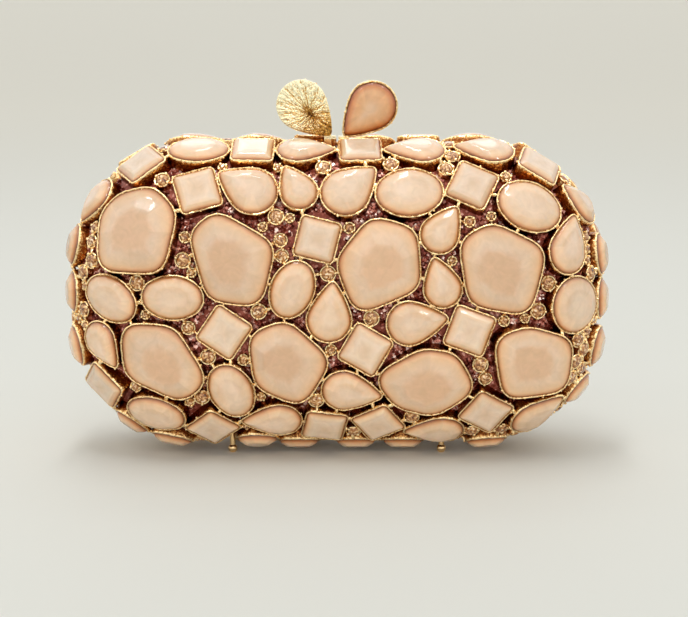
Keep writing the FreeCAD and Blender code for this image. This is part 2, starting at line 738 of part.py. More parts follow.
class Setting:
    """A stone in its cup: its outline, its turn, and its seat on the dome."""

    def __init__(self, kind, arcs, seat, turn, rim="rim_wall"):
        self.kind = kind
        self.rim = size(rim)
        self.turn = math.radians(turn)
        self.fixed = False
        self.draw(arcs)
        self.move_to(seat)

    def draw(self, arcs):
        """Take an outline for the stone, and the cup's outline that follows from it."""
        self.arcs = arcs
        self.outline = grown(arcs, self.rim)
        self.radius = radius_of(self.outline)

    def move_to(self, point):
        """Seat the setting at the dome's nearest point, with u across or v up in its plane."""
        self.seat, self.normal = on_dome(point)
        if abs(self.normal.x) > abs(self.normal.z):
            across = Vector(0, 0, 1).cross(self.normal)
        else:
            across = Vector(1, 0, 0)
        across = (across - self.normal * across.dot(self.normal)).normalize()
        up = self.normal.cross(across)
        self.u = across * math.cos(self.turn) + up * math.sin(self.turn)
        self.v = self.normal.cross(self.u)

    def reach(self, way):
        """How far the cup reaches from its seat along a direction."""
        u = way.dot(self.u)
        v = way.dot(self.v)
        return math.hypot(u, v) * reach_of(self.outline, math.atan2(v, u))

    def yields(self, other):
        """The part of a push that this setting takes: a large one gives way less."""
        if self.fixed or other.fixed:
            return 0.0 if self.fixed else 1.0
        return other.radius ** 2 / (self.radius ** 2 + other.radius ** 2)

    def placement(self):
        """The place of the cup's floor, a fit above the dome."""
        base = self.seat + self.normal * size("fit_gap")
        rotation = FreeCAD.Rotation(self.u, self.v, self.normal, "ZXY")
        return FreeCAD.Placement(base, rotation)


def clearance(first, second):
    """The widest gap between two cups, and the direction it is measured in."""
    delta = second.seat - first.seat
    normal = (first.normal + second.normal).normalize()
    level = delta - normal * delta.dot(normal)
    ahead = level.normalize() if level.Length > 0 else Vector(first.u)
    side = normal.cross(ahead)
    best = None
    for angle in PROBE_ANGLES:
        way = ahead * math.cos(math.radians(angle)) + side * math.sin(math.radians(angle))
        gap = delta.dot(way) - first.reach(way) - second.reach(way * -1)
        if best is None or gap > best[0]:
            best = (gap, way)
    return best


def keep_off_seam(setting):
    """Push a setting back until its cup is off the mouth frame."""
    way = Vector(0, 1, 0)
    way = way - setting.normal * way.dot(setting.normal)
    if way.Length <= 0:
        return
    way.normalize()
    over = setting.seat.y + way.y * setting.reach(way) + size("band_width") + size("fit_gap")
    if over > 0:
        setting.move_to(setting.seat - way * over)


def settle(settings, rounds):
    """Slide settings over the dome until no two cups are closer than the spacing."""
    spacing = size("cup_spacing")
    for _ in range(rounds):
        for index, first in enumerate(settings):
            for second in settings[index + 1:]:
                if first.fixed and second.fixed:
                    continue
                span = first.radius + second.radius + spacing
                if (second.seat - first.seat).Length > span:
                    continue
                gap, way = clearance(first, second)
                if gap >= spacing:
                    continue
                push = way * (spacing - gap)
                yields = first.yields(second)
                first.move_to(first.seat - push * yields)
                second.move_to(second.seat + push * (1 - yields))
        for setting in settings:
            if not setting.fixed:
                keep_off_seam(setting)


def make_room(settings):
    """Cut stones smaller where their cups still touch, and settle again until none do."""
    for _ in range(TRIM_ROUNDS):
        crowded = []
        for first in settings:
            others = [other for other in near(first, settings) if other is not first]
            if not first.fixed and any(clearance(first, other)[0] < 0 for other in others):
                crowded.append(first)
        if not crowded:
            return
        for setting in crowded:
            setting.draw(scaled(setting.arcs, TRIM_SHARE))
        settle(settings, TRIM_ROUNDS)


def laid_out_settings():
    """Every setting of one half, placed where it shows and then settled."""
    lift = size("cup_height") + size("crown_rise")
    tip = size("pear_tip_radius")
    kinds = (
        ("oval", OVAL_PIXELS, oval_arcs(size("oval_length"), size("oval_width"))),
        ("oval", WIDE_OVAL_PIXELS, oval_arcs(size("wide_oval_length"), size("wide_oval_width"))),
        ("oval", ROUND_PIXELS, round_arcs(size("round_diameter"))),
        ("pear", PEAR_PIXELS, pear_arcs(size("pear_length"), size("pear_width"), tip)),
        ("pear", WIDE_PEAR_PIXELS, pear_arcs(size("wide_pear_length"), size("wide_pear_width"), tip)),
        ("pear", SLIM_PEAR_PIXELS, pear_arcs(size("slim_pear_length"), size("slim_pear_width"), tip)),
        ("square", SQUARE_PIXELS, square_arcs(size("square_side"), size("square_corner"))),
    )
    settings = []
    for kind, pixels, arcs in kinds:
        for x, y, turn in pixels:
            settings.append(Setting(kind, arcs, seen_seat((x, y), lift), turn))
    for pixel, shares in zip(LARGE_PIXELS, LARGE_CORNER_SHARES):
        centres = [(u * size("large_span"), v * size("large_span")) for u, v in shares]
        settings.append(Setting("large", hull_arcs(centres, size("large_corner")), seen_seat(pixel, lift), 0))
    edge = oval_arcs(size("edge_length"), size("edge_width"))
    for x, y, turn in EDGE_PIXELS:
        start = sight_point((x, y))
        start.y = -size("band_width") - size("edge_width") * EDGE_LINE_SHARE
        settings.append(Setting("edge", edge, start, turn))
    for side in (-1, 1):
        seat = Vector(side * size("foot_spread") / 2, -size("foot_depth"), 0)
        foot = Setting("foot", round_arcs(2 * size("foot_radius")), seat, 0)
        foot.fixed = True
        settings.append(foot)
    settle(settings, SETTLE_ROUNDS)
    make_room(settings)
    for setting in settings:
        setting.fixed = True
    return [setting for setting in settings + rhinestones(settings) if setting.kind != "foot"]


def rhinestones(settings):
    """The small stones that show between the others, and a row of them by the mouth, where they fit."""
    small = round_arcs(size("rhinestone_diameter"))
    low = size("rhinestone_cup_height") + size("rhinestone_rise")
    seats = [seen_seat(pixel, low) for pixel in RHINESTONE_PIXELS]
    row = [Setting("rhinestone", small, seat, 0, "rhinestone_rim") for seat in seats]
    settle(settings + row, SETTLE_ROUNDS)
    kept = []
    for stone in row + mouth_row(small):
        if all(clearance(stone, other)[0] > 0 for other in near(stone, settings + kept)):
            stone.fixed = True
            kept.append(stone)
    return kept


def near(setting, others):
    """The settings whose cups could touch a setting's cup."""
    return [other for other in others if (other.seat - setting.seat).Length < other.radius + setting.radius]


def mouth_row(arcs):
    """Candidates for a row of small stones on the dome, close to the mouth frame."""
    wide = size("shell_width") / 2 - size("corner_radius")
    tall = size("shell_height") / 2 - size("corner_radius")
    corner = size("corner_radius")
    quarter = math.pi / 2 * corner
    runs = (2 * tall, quarter, 2 * wide, quarter) * 2
    row = []
    count = int(sum(runs) / size("rhinestone_pitch"))
    for index in range(count):
        along = sum(runs) * index / count
        leg = 0
        while along > runs[leg]:
            along -= runs[leg]
            leg += 1
        point = mouth_place(leg, along, wide, tall, corner)
        row.append(Setting("rhinestone", arcs, point, 0, "rhinestone_rim"))
    for stone in row:
        keep_off_seam(stone)
    return row


def mouth_place(leg, along, wide, tall, corner):
    """A point on the mouth's outline: legs run up the right side and on counterclockwise."""
    side = -1 if leg >= 4 else 1
    step = leg % 4
    if step == 0:
        x, z = wide + corner, along - tall
    elif step == 2:
        x, z = wide - along, tall + corner
    else:
        angle = along / corner + (math.pi / 2 if step == 3 else 0)
        x = math.copysign(wide, 2 - step) + corner * math.cos(angle)
        z = tall + corner * math.sin(angle)
    return Vector(side * x, -size("band_width"), MIDDLE + side * z)


def stone_nodes(half, settings, turn):
    """The cups and the stones of each kind, as nodes of separate solids."""
    nodes = []
    for kind in ("large", "oval", "pear", "square", "edge", "rhinestone"):
        cups = []
        stones = []
        for setting in settings:
            if setting.kind != kind:
                continue
            small = kind == "rhinestone"
            height = size("rhinestone_cup_height") if small else size("cup_height")
            cup = cup_solid(setting.arcs, setting.rim, size("cup_floor"), height)
            stone = (rhinestone_solid if small else stone_solid)(setting.arcs, size("cup_floor"), height)
            for solid, group in ((cup, cups), (stone, stones)):
                solid.Placement = setting.placement()
                group.append(solid)
        for name, group in (("settings", cups), ("stones", stones)):
            node = doc.addObject("Part::Feature", "%s_%s_%s" % (half, kind, name))
            node.Shape = Part.makeCompound(group)
            node.Placement = turn
            nodes.append(node)
    return nodes


def clasp_knob(half, turn):
    """The knob's casting, a pear cup on a stem with an eye and a nib, and the stone set in it."""
    arcs = pear_arcs(size("clasp_knob_length"), size("clasp_knob_width"), size("pear_tip_radius"))
    lean = math.radians(90.0 - KNOB_LEAN)
    pivot = Vector(size("clasp_offset"), number(CLASP_EYE_FRONT), number(CLASP_PIVOT))
    half_length = size("clasp_knob_length") / 2 + size("rim_wall")
    tip_height = pivot.z + size("clasp_eye_radius") + size("clasp_knob_lift")
    centre = Vector(
        pivot.x - size("clasp_knob_shift") + half_length * math.cos(lean),
        number("-Size.clasp_seam_gap"),
        tip_height + half_length * math.sin(lean),
    )
    u = Vector(-math.cos(lean), 0, -math.sin(lean))
    normal = Vector(0, -1, 0)
    place = FreeCAD.Placement(centre, FreeCAD.Rotation(u, normal.cross(u), normal, "ZXY"))
    floor = size("clasp_back_wall")
    height = floor + size("cup_height") - size("cup_floor")
    cup = cup_solid(arcs, size("rim_wall"), floor, height)
    cup.Placement = place
    seat = Part.Face(outline_wire(grown(arcs, size("fit_gap")), floor)).extrude(Vector(0, 0, height))
    seat.Placement = place
    along = Vector(0, 1, 0)
    eye = Part.makeCylinder(size("clasp_eye_radius"), size("clasp_eye_wall"), pivot, along)
    stem_end = size("clasp_stem_width") / 2
    stem = Part.makeBox(
        2 * stem_end, size("clasp_eye_wall"), size("clasp_stem_rise"), pivot - Vector(stem_end, 0, 0),
    )
    nib_base = Vector(
        size("clasp_nib_gap"), pivot.y, pivot.z + size("clasp_eye_radius") + size("fit_gap"),
    )
    nib = Part.makeBox(
        pivot.x + stem_end - nib_base.x, size("clasp_nib_reach") - pivot.y, size("clasp_nib_wall"), nib_base,
    )
    bore = Part.makeCylinder(number(RIVET_BORE), size("clasp_eye_wall"), pivot, along)
    knob = doc.addObject("Part::Feature", half + "_clasp_knob")
    knob.Shape = cup.fuse([eye, stem, nib]).cut(seat).cut(bore).removeSplitter()
    knob.Placement = turn
    stone = doc.addObject("Part::Feature", half + "_clasp_stone")
    solid = stone_solid(arcs, floor, height)
    solid.Placement = place
    stone.Shape = Part.makeCompound([solid])
    stone.Placement = turn
    return [knob, stone]


def build_half(half, settings, turn):
    """All the pieces of one half."""
    nodes = [
        dome_pan(half + "_shell", "0", "Size.shell_wall", turn),
        mouth_frame(half + "_frame", turn),
        dome_pan(half + "_lining", "Size.frame_wall + Size.fit_gap", "Size.lining_wall", turn),
        hinge_leaf(half + "_hinge_leaf", turn),
        bead_feet(half + "_feet", turn),
        clasp_bracket(half + "_clasp_bracket", turn),
        clasp_rivet(half + "_clasp_rivet", turn),
        clasp_spring(half + "_clasp_spring", turn),
    ]
    return nodes + clasp_knob(half, turn) + stone_nodes(half, settings, turn)


def check(nodes):
    """Stop if any object failed or any node's shape is not whole."""
    for obj in doc.Objects:
        if "Invalid" in obj.State or "Error" in obj.State:
            raise RuntimeError("%s did not build: %s" % (obj.Label, obj.State))
    for node in nodes:
        if node.Shape.isNull() or not node.Shape.isValid() or not node.Shape.Solids:
            raise RuntimeError("%s has no valid solid" % node.Label)


places = laid_out_settings()
all_nodes = build_half("front", places, FreeCAD.Placement())
all_nodes += build_half("back", places, HALF_TURN)
all_nodes.append(hinge_pin("hinge_pin"))
all_nodes.append(chain_lugs("chain_lugs", HALF_TURN))
doc.recompute()
check(all_nodes)
os.makedirs("parts", exist_ok=True)
for node in all_nodes:
    node.Shape.exportStep("parts/%s.step" % node.Label)
print("%d nodes, %d solids" % (len(all_nodes), sum(len(node.Shape.Solids) for node in all_nodes)))
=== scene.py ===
"""Looks of a hard-shell evening clutch set with milky stones, in metres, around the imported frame.

The stones, cups, rhinestones, glitter and knobs are surfaces worked out from where the frame's own
solids are. The back half repeats the front half, turned half a turn about the upright axis.
"""
import logging
import math
from dataclasses import dataclass, field
from enum import Enum

import bpy
import numpy as np
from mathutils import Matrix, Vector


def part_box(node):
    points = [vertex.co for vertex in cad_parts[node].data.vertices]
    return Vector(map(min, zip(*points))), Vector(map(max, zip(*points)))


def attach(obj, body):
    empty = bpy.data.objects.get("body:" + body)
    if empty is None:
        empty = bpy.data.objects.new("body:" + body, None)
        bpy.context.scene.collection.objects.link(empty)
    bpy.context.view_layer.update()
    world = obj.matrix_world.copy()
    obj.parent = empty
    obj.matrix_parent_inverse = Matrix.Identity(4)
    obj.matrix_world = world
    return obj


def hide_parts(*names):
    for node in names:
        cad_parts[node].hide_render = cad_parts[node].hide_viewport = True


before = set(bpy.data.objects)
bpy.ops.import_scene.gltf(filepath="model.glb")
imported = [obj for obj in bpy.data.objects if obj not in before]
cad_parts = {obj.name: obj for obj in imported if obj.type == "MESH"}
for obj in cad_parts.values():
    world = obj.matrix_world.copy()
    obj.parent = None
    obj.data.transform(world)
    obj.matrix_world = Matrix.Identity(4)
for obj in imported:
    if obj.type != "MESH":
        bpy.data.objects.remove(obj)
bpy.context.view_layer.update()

Array = np.ndarray
Random = np.random.Generator
Material = bpy.types.Material
Node = bpy.types.Node
Socket = bpy.types.NodeSocket
Tree = bpy.types.NodeTree
Stops = tuple[tuple[float, str], ...]
Triple = tuple[float, float, float]
Pair = tuple[float, float]
MM = 0.001
TURN = 2 * math.pi
# The least length that anything is divided by
TINY = 1e-9
# How solids are read: points this near are one, levels this far apart differ, and the base's own depth
WELD = 0.001 * MM
LEVEL_STEP = 0.1 * MM
BASE_BAND = 0.05 * MM
# Even steps along an outline that find its middle, and that round its corners
CENTRE_STEPS = 96
TUMBLE_STEPS = 256
LOG = logging.getLogger("clutch")


class Half(Enum):
    """The two halves: the word in their names, and the sign that turns the front into them."""

    FRONT = ("front", 1.0)
    BACK = ("back", -1.0)

    def name_of(self, word: str) -> str:
        """The name of this half's own node, piece or body."""
        return f"{self.value[0]}_{word}"

    @property
    def turn(self) -> Array:
        """Factors on x, y and z that turn a front point into this half's."""
        return np.array([self.value[1], self.value[1], 1.0])


@dataclass(frozen=True)
class CutShape:
    """How a resin stone is cut.

    Attributes:
        word: The cut's word in node names.
        facets: Facets round the stone.
        table: The table's share of the outline.
        wander: How far the table may lie off the middle, as a share of the stone's size.
        tone: The least that the stone's tone takes of the way out to the girdle.
        tall: Share of the full height.
        tumbled: How far the corners are worn round.
        glow: How fast the painted shade and orange glow at the edge fade inwards.
        shade: Added to the stone's random tone.
    """

    word: str
    facets: int
    table: float
    wander: float
    tone: float
    tall: float
    tumbled: float = 0.0
    glow: float = 1.0
    shade: float = 0.0


class Cut(Enum):
    """Cuts of the resin stones."""

    LARGE = CutShape("large", 8, 0.56, 0.20, 0.0, 0.95, tumbled=2.2 * MM)
    OVAL = CutShape("oval", 12, 0.62, 0.04, 0.56, 0.9)
    PEAR = CutShape("pear", 10, 0.60, 0.04, 0.56, 0.9, tumbled=0.4 * MM)
    SQUARE = CutShape("square", 4, 0.78, 0.02, 0.44, 0.55, glow=1.7, shade=-1.2)
    EDGE = CutShape("edge", 10, 0.60, 0.03, 0.56, 0.9)
    CLASP = CutShape("clasp", 28, 0.62, 0.0, 0.56, 0.6)


# Numbers on grids


def linear(code: str) -> tuple[float, float, float, float]:
    """Turn an sRGB hex colour into linear light.

    Args:
        code: Six hex digits after a hash.

    Returns:
        Red, green, blue and an alpha of one.
    """
    parts = np.array([int(code[k:k + 2], 16) for k in (1, 3, 5)]) / 255.0
    light = np.where(parts <= 0.04045, parts / 12.92, ((parts + 0.055) / 1.055) ** 2.4)
    return (float(light[0]), float(light[1]), float(light[2]), 1.0)


def around(count: int) -> Array:
    """Equal steps of angle round a full turn."""
    return np.linspace(0.0, TURN, count, endpoint=False)


def unit(vectors: Array) -> Array:
    """Vectors brought to a length of one."""
    return vectors / np.linalg.norm(vectors, axis=-1, keepdims=True)


def ring_faces(rows: int, columns: int, closed: bool = False) -> Array:
    """Quads of a grid whose columns run round a ring.

    With columns counterclockwise and rows going up the outside, the faces point outwards.

    Args:
        rows: Number of rows of points.
        columns: Number of points round the ring.
        closed: Whether the last row joins the first one.

    Returns:
        Four point numbers for each quad.
    """
    row = np.arange(rows if closed else rows - 1)[:, None]
    column = np.arange(columns)[None, :]
    following = (column + 1) % columns
    above = (row + 1) % rows
    corners = (row * columns + column, row * columns + following,
               above * columns + following, above * columns + column)
    return np.stack([c.ravel() for c in corners], axis=1)


def fan_faces(first: int, columns: int, pole: int, upward: bool) -> Array:
    """Triangles that close a ring of points at a pole.

    Args:
        first: Number of the ring's first point.
        columns: Number of points round the ring.
        pole: Number of the pole's point.
        upward: Whether the cap faces up, for a ring taken counterclockwise.

    Returns:
        Three point numbers for each triangle.
    """
    here = first + np.arange(columns)
    following = first + (np.arange(columns) + 1) % columns
    ends = (here, following) if upward else (following, here)
    return np.stack([*ends, np.full(columns, pole)], axis=1)


def capped(rows: int, columns: int, outward: bool = True) -> tuple[Array, Array]:
    """Faces of a ring grid with a pole at each end, whose two points come after the grid's.

    Args:
        rows: Number of rows of points.
        columns: Number of points round the ring.
        outward: Whether the faces point out, for rows that go up.

    Returns:
        The quads and the triangles.
    """
    count = rows * columns
    quads = ring_faces(rows, columns)
    tris = np.vstack([fan_faces(0, columns, count, not outward),
                      fan_faces(count - columns, columns, count + 1, outward)])
    return (quads if outward else quads[:, ::-1]), tris


def even_steps(outline: Array, count: int) -> Array:
    """Points at equal steps of length along a closed outline.

    Args:
        outline: Corners of the outline, in order.
        count: Number of points wanted.

    Returns:
        The points, starting at the outline's first corner.
    """
    ring = np.vstack([outline, outline[:1]])
    run = np.concatenate([[0.0], np.cumsum(np.linalg.norm(np.diff(ring, axis=0), axis=1))])
    at = np.linspace(0.0, run[-1], count, endpoint=False)
    return np.stack([np.interp(at, run, ring[:, k]) for k in range(2)], axis=1)


def side_of(outline: Array) -> Array:
    """Unit vectors that point out of a counterclockwise outline, square to its run."""
    ahead = np.roll(outline, -1, axis=0) - np.roll(outline, 1, axis=0)
    return unit(np.stack([ahead[:, 1], -ahead[:, 0]], axis=1))


def ripple(rng: Random, count: int, waves: tuple[int, int], terms: int = 5) -> Array:
    """A closed random wave: a sum of sines with whole numbers of waves round the ring.

    Args:
        rng: Source of the random phases.
        count: Number of points round the ring.
        waves: Fewest and most waves round the ring.
        terms: Number of sines.

    Returns:
        Values between about minus one and one.
    """
    number = rng.integers(waves[0], waves[1] + 1, terms)[None, :]
    phase = rng.uniform(0.0, TURN, terms)[None, :]
    return np.sin(around(count)[:, None] * number + phase).mean(axis=1) * math.sqrt(2.0)


def ball() -> tuple[Array, Array, Array]:
    """A unit ball of few faces: four rings of seven points, at equal angles between two poles.

    Returns:
        Points, quads and triangles.
    """
    lift = np.radians([-54.0, -18.0, 18.0, 54.0])[:, None]
    way = around(7)[None, :]
    rings = np.stack([np.cos(lift) * np.cos(way), np.cos(lift) * np.sin(way),
                      np.sin(lift) + 0 * way], axis=-1)
    points = np.vstack([rings.reshape(-1, 3), [[0.0, 0.0, -1.0], [0.0, 0.0, 1.0]]])
    return (points, *capped(4, 7))


@dataclass
class Mesh:
    """Points, faces and point values gathered for one piece."""

    points: list[Array] = field(default_factory=list)
    quads: list[Array] = field(default_factory=list)
    tris: list[Array] = field(default_factory=list)
    values: dict[str, list[Array]] = field(default_factory=dict)
    count: int = 0

    def add(self, points: Array, quads: Array, tris: Array | None = None, **values: Array | float) -> None:
        """Add one closed surface.

        Args:
            points: Its points.
            quads: Its four-sided faces, numbered from its own first point.
            tris: Its triangles, numbered the same way.
            values: Named values, one for each point or one for all.
        """
        self.points.append(points)
        self.quads.append(quads + self.count)
        if tris is not None:
            self.tris.append(tris + self.count)
        for name, value in values.items():
            self.values.setdefault(name, []).append(np.broadcast_to(value, len(points)))
        self.count += len(points)

    def add_many(self, shape: tuple[Array, Array, Array], places: Array, frames: Array,
                 **values: Array) -> None:
        """Add copies of one shape.

        Args:
            shape: Points, quads and triangles of the shape.
            places: The middle of each copy.
            frames: Three vectors for each copy, which the shape's x, y and z become.
            values: Named values, one for each copy.
        """
        points, quads, tris = shape
        moved = places[:, None, :] + np.einsum("pk,ckj->cpj", points, frames)
        step = (np.arange(len(places)) * len(points))[:, None, None]
        spread = {name: np.repeat(value, len(points)) for name, value in values.items()}
        self.add(moved.reshape(-1, 3), (quads[None] + step).reshape(-1, 4),
                 (tris[None] + step).reshape(-1, 3), **spread)

    def piece(self, half: Half, word: str, body: str, finish: Material, slot: str,
              stands_for: str = "", sharp: float = 30.0) -> bpy.types.Object:
        """Make one half's object, put it on its body and hide the node it stands for.

        Args:
            half: The half it is turned into, whose word starts the three names.
            word: The piece's name.
            body: The body that it rides on.
            finish: Its material.
            slot: The record's material slot, which is not used.
            stands_for: The node that it replaces, if any.
            sharp: Edges that turn by more than this many degrees stay crisp.

        Returns:
            The new object.
        """
        name = half.name_of(word)
        points = np.vstack(self.points) * half.turn
        mesh = bpy.data.meshes.new(name)
        mesh.from_pydata(points.tolist(), [], [f for group in self.quads + self.tris for f in group.tolist()])
        for label, parts in self.values.items():
            layer = mesh.attributes.new(label, "FLOAT", "POINT")
            layer.data.foreach_set("value", np.concatenate(parts).astype(np.float32))
        mesh.shade_smooth()
        mesh.set_sharp_from_angle(angle=math.radians(sharp))
        mesh.materials.append(finish)
        made = bpy.data.objects.new(name, mesh)
        bpy.context.scene.collection.objects.link(made)
        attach(made, half.name_of(body))
        if stands_for:
            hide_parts(half.name_of(stands_for))
        LOG.info("%s: %d points, on %s", name, len(points), half.name_of(body))
        return made


# Finishes


def feed(tree: Tree, node: Node, inputs: dict) -> None:
    """Set a node's inputs: a socket is linked, and anything else is a plain value.

    Args:
        tree: The nodes that it belongs to.
        node: The node.
        inputs: Values or sockets by the input's name or number.
    """
    for name, value in inputs.items():
        if isinstance(value, Socket):
            tree.links.new(value, node.inputs[name])
        else:
            node.inputs[name].default_value = value


def add_node(tree: Tree, kind: str, inputs: dict | None = None, **settings: object) -> Node:
    """Add a shader node.

    Args:
        tree: The material's or the world's nodes.
        kind: The node's type name, without its common start.
        inputs: Values, or sockets to link, by the input's name or number.
        settings: Properties of the node.

    Returns:
        The new node.
    """
    node = tree.nodes.new("ShaderNode" + kind)
    for name, value in settings.items():
        setattr(node, name, value)
    feed(tree, node, inputs or {})
    return node


@dataclass(frozen=True)
class Wiring:
    """Short ways to add the nodes that finishes share. Patterns take real sizes in millimetres."""

    tree: Tree

    def add(self, kind: str, output: str, inputs: dict | None = None, **settings: object) -> Socket:
        """Add a node and give one of its outputs."""
        return add_node(self.tree, kind, inputs, **settings).outputs[output]

    def math(self, operation: str, *values: Socket | float) -> Socket:
        """One sum on numbers and sockets."""
        return self.add("Math", "Value", dict(enumerate(values)), operation=operation)

    def evened(self, value: Socket, width: float) -> Socket:
        """A value from 0 to 1 spread over a width, evenly about zero."""
        return self.math("MULTIPLY_ADD", value, width, -width / 2)

    def held(self, name: str) -> Socket:
        """A value that the mesh holds for each point."""
        return self.add("Attribute", "Fac", attribute_name=name)

    def span(self, value: Socket, low: Socket | float, high: Socket | float) -> Socket:
        """A value from 0 to 1 moved to lie between two others."""
        return self.add("MapRange", "Result", {"Value": value, "To Min": low, "To Max": high})

    def noise(self, place: Socket, size_mm: float, detail: float = 2.0, swirl: float = 0.0) -> Socket:
        """Cloudy noise."""
        return self.add("TexNoise", "Fac", {
            "Vector": place, "Scale": 1 / (size_mm * MM), "Detail": detail, "Distortion": swirl})

    def cells(self, place: Socket, size_mm: float) -> bpy.types.bpy_prop_collection:
        """Three random values for each cell of a broken pattern, by the names of colours."""
        colour = self.add("TexVoronoi", "Color", {"Vector": place, "Scale": 1 / (size_mm * MM)})
        return add_node(self.tree, "SeparateColor", {"Color": colour}).outputs

    def ramp(self, place: Socket, stops: Stops, interpolation: str = "LINEAR") -> Socket:
        """Colours along a ramp.

        Args:
            place: Where on the ramp each point lies.
            stops: Place and hex colour of each stop, in order.
            interpolation: How the ramp goes from stop to stop.

        Returns:
            The ramp's colour.
        """
        node = add_node(self.tree, "ValToRGB", {"Fac": place})
        node.color_ramp.interpolation = interpolation
        elements = node.color_ramp.elements
        while len(elements) < len(stops):
            elements.new(1.0)
        for element, (at, code) in zip(elements, stops):
            element.position = at
            element.color = linear(code)
        return node.outputs["Color"]

    def bump(self, height: Socket, strength: float, depth_mm: float) -> Socket:
        """A normal tilted by fine relief."""
        return self.add("Bump", "Normal", {"Height": height, "Strength": strength, "Distance": depth_mm * MM})

    def seen_rays(self) -> Socket:
        """Tell the rays that are seen, straight from the camera or by way of metal and glass.

        Returns:
            One for those rays and zero for the others.
        """
        path = add_node(self.tree, "LightPath").outputs
        seen = self.math("MAXIMUM", path["Is Camera Ray"], path["Is Glossy Ray"])
        return self.math("MAXIMUM", seen, path["Is Transmission Ray"])


@dataclass(frozen=True)
class Finish:
    """A material with its real name. Each kind of finish works out its own shader inputs."""

    name: str

    def inputs(self, wire: Wiring, place: Socket) -> dict:
        """The shader's inputs by name, from the object's own coordinates."""
        raise NotImplementedError

    def material(self) -> Material:
        """Make the material from the kind's own shader inputs.

        Returns:
            The new material.
        """
        made = bpy.data.materials.new(self.name)
        made.use_nodes = True
        wire = Wiring(made.node_tree)
        place = wire.add("TexCoord", "Object")
        feed(wire.tree, wire.tree.nodes["Principled BSDF"], self.inputs(wire, place))
        return made


@dataclass(frozen=True)
class MilkyResin(Finish):
    """Cast polyester resin, tumbled and polished.

    It is cloudy, under a clear gloss, with light painted into its colour: pale at the crown, a darker
    table in the middle painted as the dark room reflected in it, and at the girdle a line of painted
    shade with an orange glow painted for the gold reflected in the edge.
    orange at the girdle where it is seen along its length, under a clear gloss.
    """

    # The table's darker colour is a painted reflection of the dark room
    table: str = "#E6C8A9"
    crown: str = "#F1DAC3"
    shoulder: str = "#F1D9C1"
    # Painted light from the girdle inwards: a dark line of painted shade, then an orange glow painted for the
    # gold reflected in the edge
    girdle_shade_and_glow: Stops = (
        (0.0, "#643618"), (0.05, "#C88C5A"), (0.10, "#EFC59C"), (0.18, "#FBE6CC"), (0.32, "#FAEEDD"),
        (0.66, "#FBF6F0"), (1.0, "#FFFFFF"),
    )
    girdle_shade_and_glow_mm: float = 6.0
    cloud_mm: float = 7.0
    cloud: float = 0.4
    wisp_mm: float = 3.5
    wisp: float = 0.24
    least: float = 0.86
    # Strength of each stone's random tone and of the painted shade of each facet
    tint: float = 0.04
    # How closely the clouds keep off the girdle
    keep_off: float = 3.0

    def inputs(self, wire: Wiring, place: Socket) -> dict:
        """Colour follows how far out a point lies, blurred by clouds: a darker table painted as a reflection,
        and painted shade and glow at the girdle; the tone varies by stone, with painted shade by facet.

        Args:
            wire: Adds the nodes.
            place: The object's own coordinates.

        Returns:
            The shader's inputs by name.
        """
        core = wire.held("core")
        blur = wire.evened(wire.noise(place, self.cloud_mm), self.cloud)
        hold = wire.math("SUBTRACT", 1.0, wire.math("POWER", core, self.keep_off))
        sway = wire.math("MULTIPLY_ADD", blur, hold, core)
        body = wire.ramp(sway, ((0.40, self.table), (0.72, self.crown), (1.0, self.shoulder)), "EASE")
        # Painted shade and orange glow, inwards from the girdle
        inward = wire.math("MULTIPLY", wire.held("rim"), 1 / self.girdle_shade_and_glow_mm)
        body = wire.add("Mix", "Result", {"Factor": 1.0, "A": body, "B": wire.ramp(inward, self.girdle_shade_and_glow)},
                        data_type="RGBA", blend_type="MULTIPLY")
        wisps = wire.noise(place, self.wisp_mm, detail=3.0, swirl=1.6)
        shade = wire.math("MULTIPLY_ADD", wisps, self.wisp, self.least)
        # Each stone's random tone, with painted shade for each facet
        level = wire.math("MULTIPLY_ADD", wire.held("tint"), self.tint, shade)
        return {
            "Base Color": wire.add("HueSaturation", "Color", {"Color": body, "Value": level}),
            "Roughness": 0.16, "IOR": 1.54, "Coat Weight": 0.6, "Coat Roughness": 0.03,
            "Subsurface Weight": 0.75, "Subsurface Radius": (1.0, 0.7, 0.5), "Subsurface Scale": 2.4 * MM,
        }


@dataclass(frozen=True)
class GoldPlate(Finish):
    """Brass or zinc alloy with a thin gold plate.

    Bright and pale at the rims, and darker and browner down the sides: painted shade that deepens
    below the rim, broken up by random wear.
    """

    bright: str = "#FFE2AE"
    side: str = "#CC9C60"
    deep: str = "#7C3E18"
    grain_mm: float = 0.6
    relief_mm: float = 0.2
    wear: float = 2.4
    roughness: Pair = (0.10, 0.30)

    def inputs(self, wire: Wiring, place: Socket) -> dict:
        """Colour follows the depth below the rim, as painted shade shifted by random wear; small lumps
        roughen and tilt the surface.

        Args:
            wire: Adds the nodes.
            place: The object's own coordinates.

        Returns:
            The shader's inputs by name.
        """
        lump = wire.noise(place, self.grain_mm, detail=3.0)
        # Painted shade from the depth below the rim, shifted by random wear
        shade_and_wear = wire.math("ADD", wire.held("depth"), wire.evened(lump, self.wear))
        return {
            "Base Color": wire.ramp(shade_and_wear, ((0.05, self.bright), (0.45, self.side), (0.95, self.deep))),
            "Roughness": wire.span(lump, *self.roughness),
            "Normal": wire.bump(lump, strength=0.6, depth_mm=self.relief_mm), "Metallic": 1.0,
        }


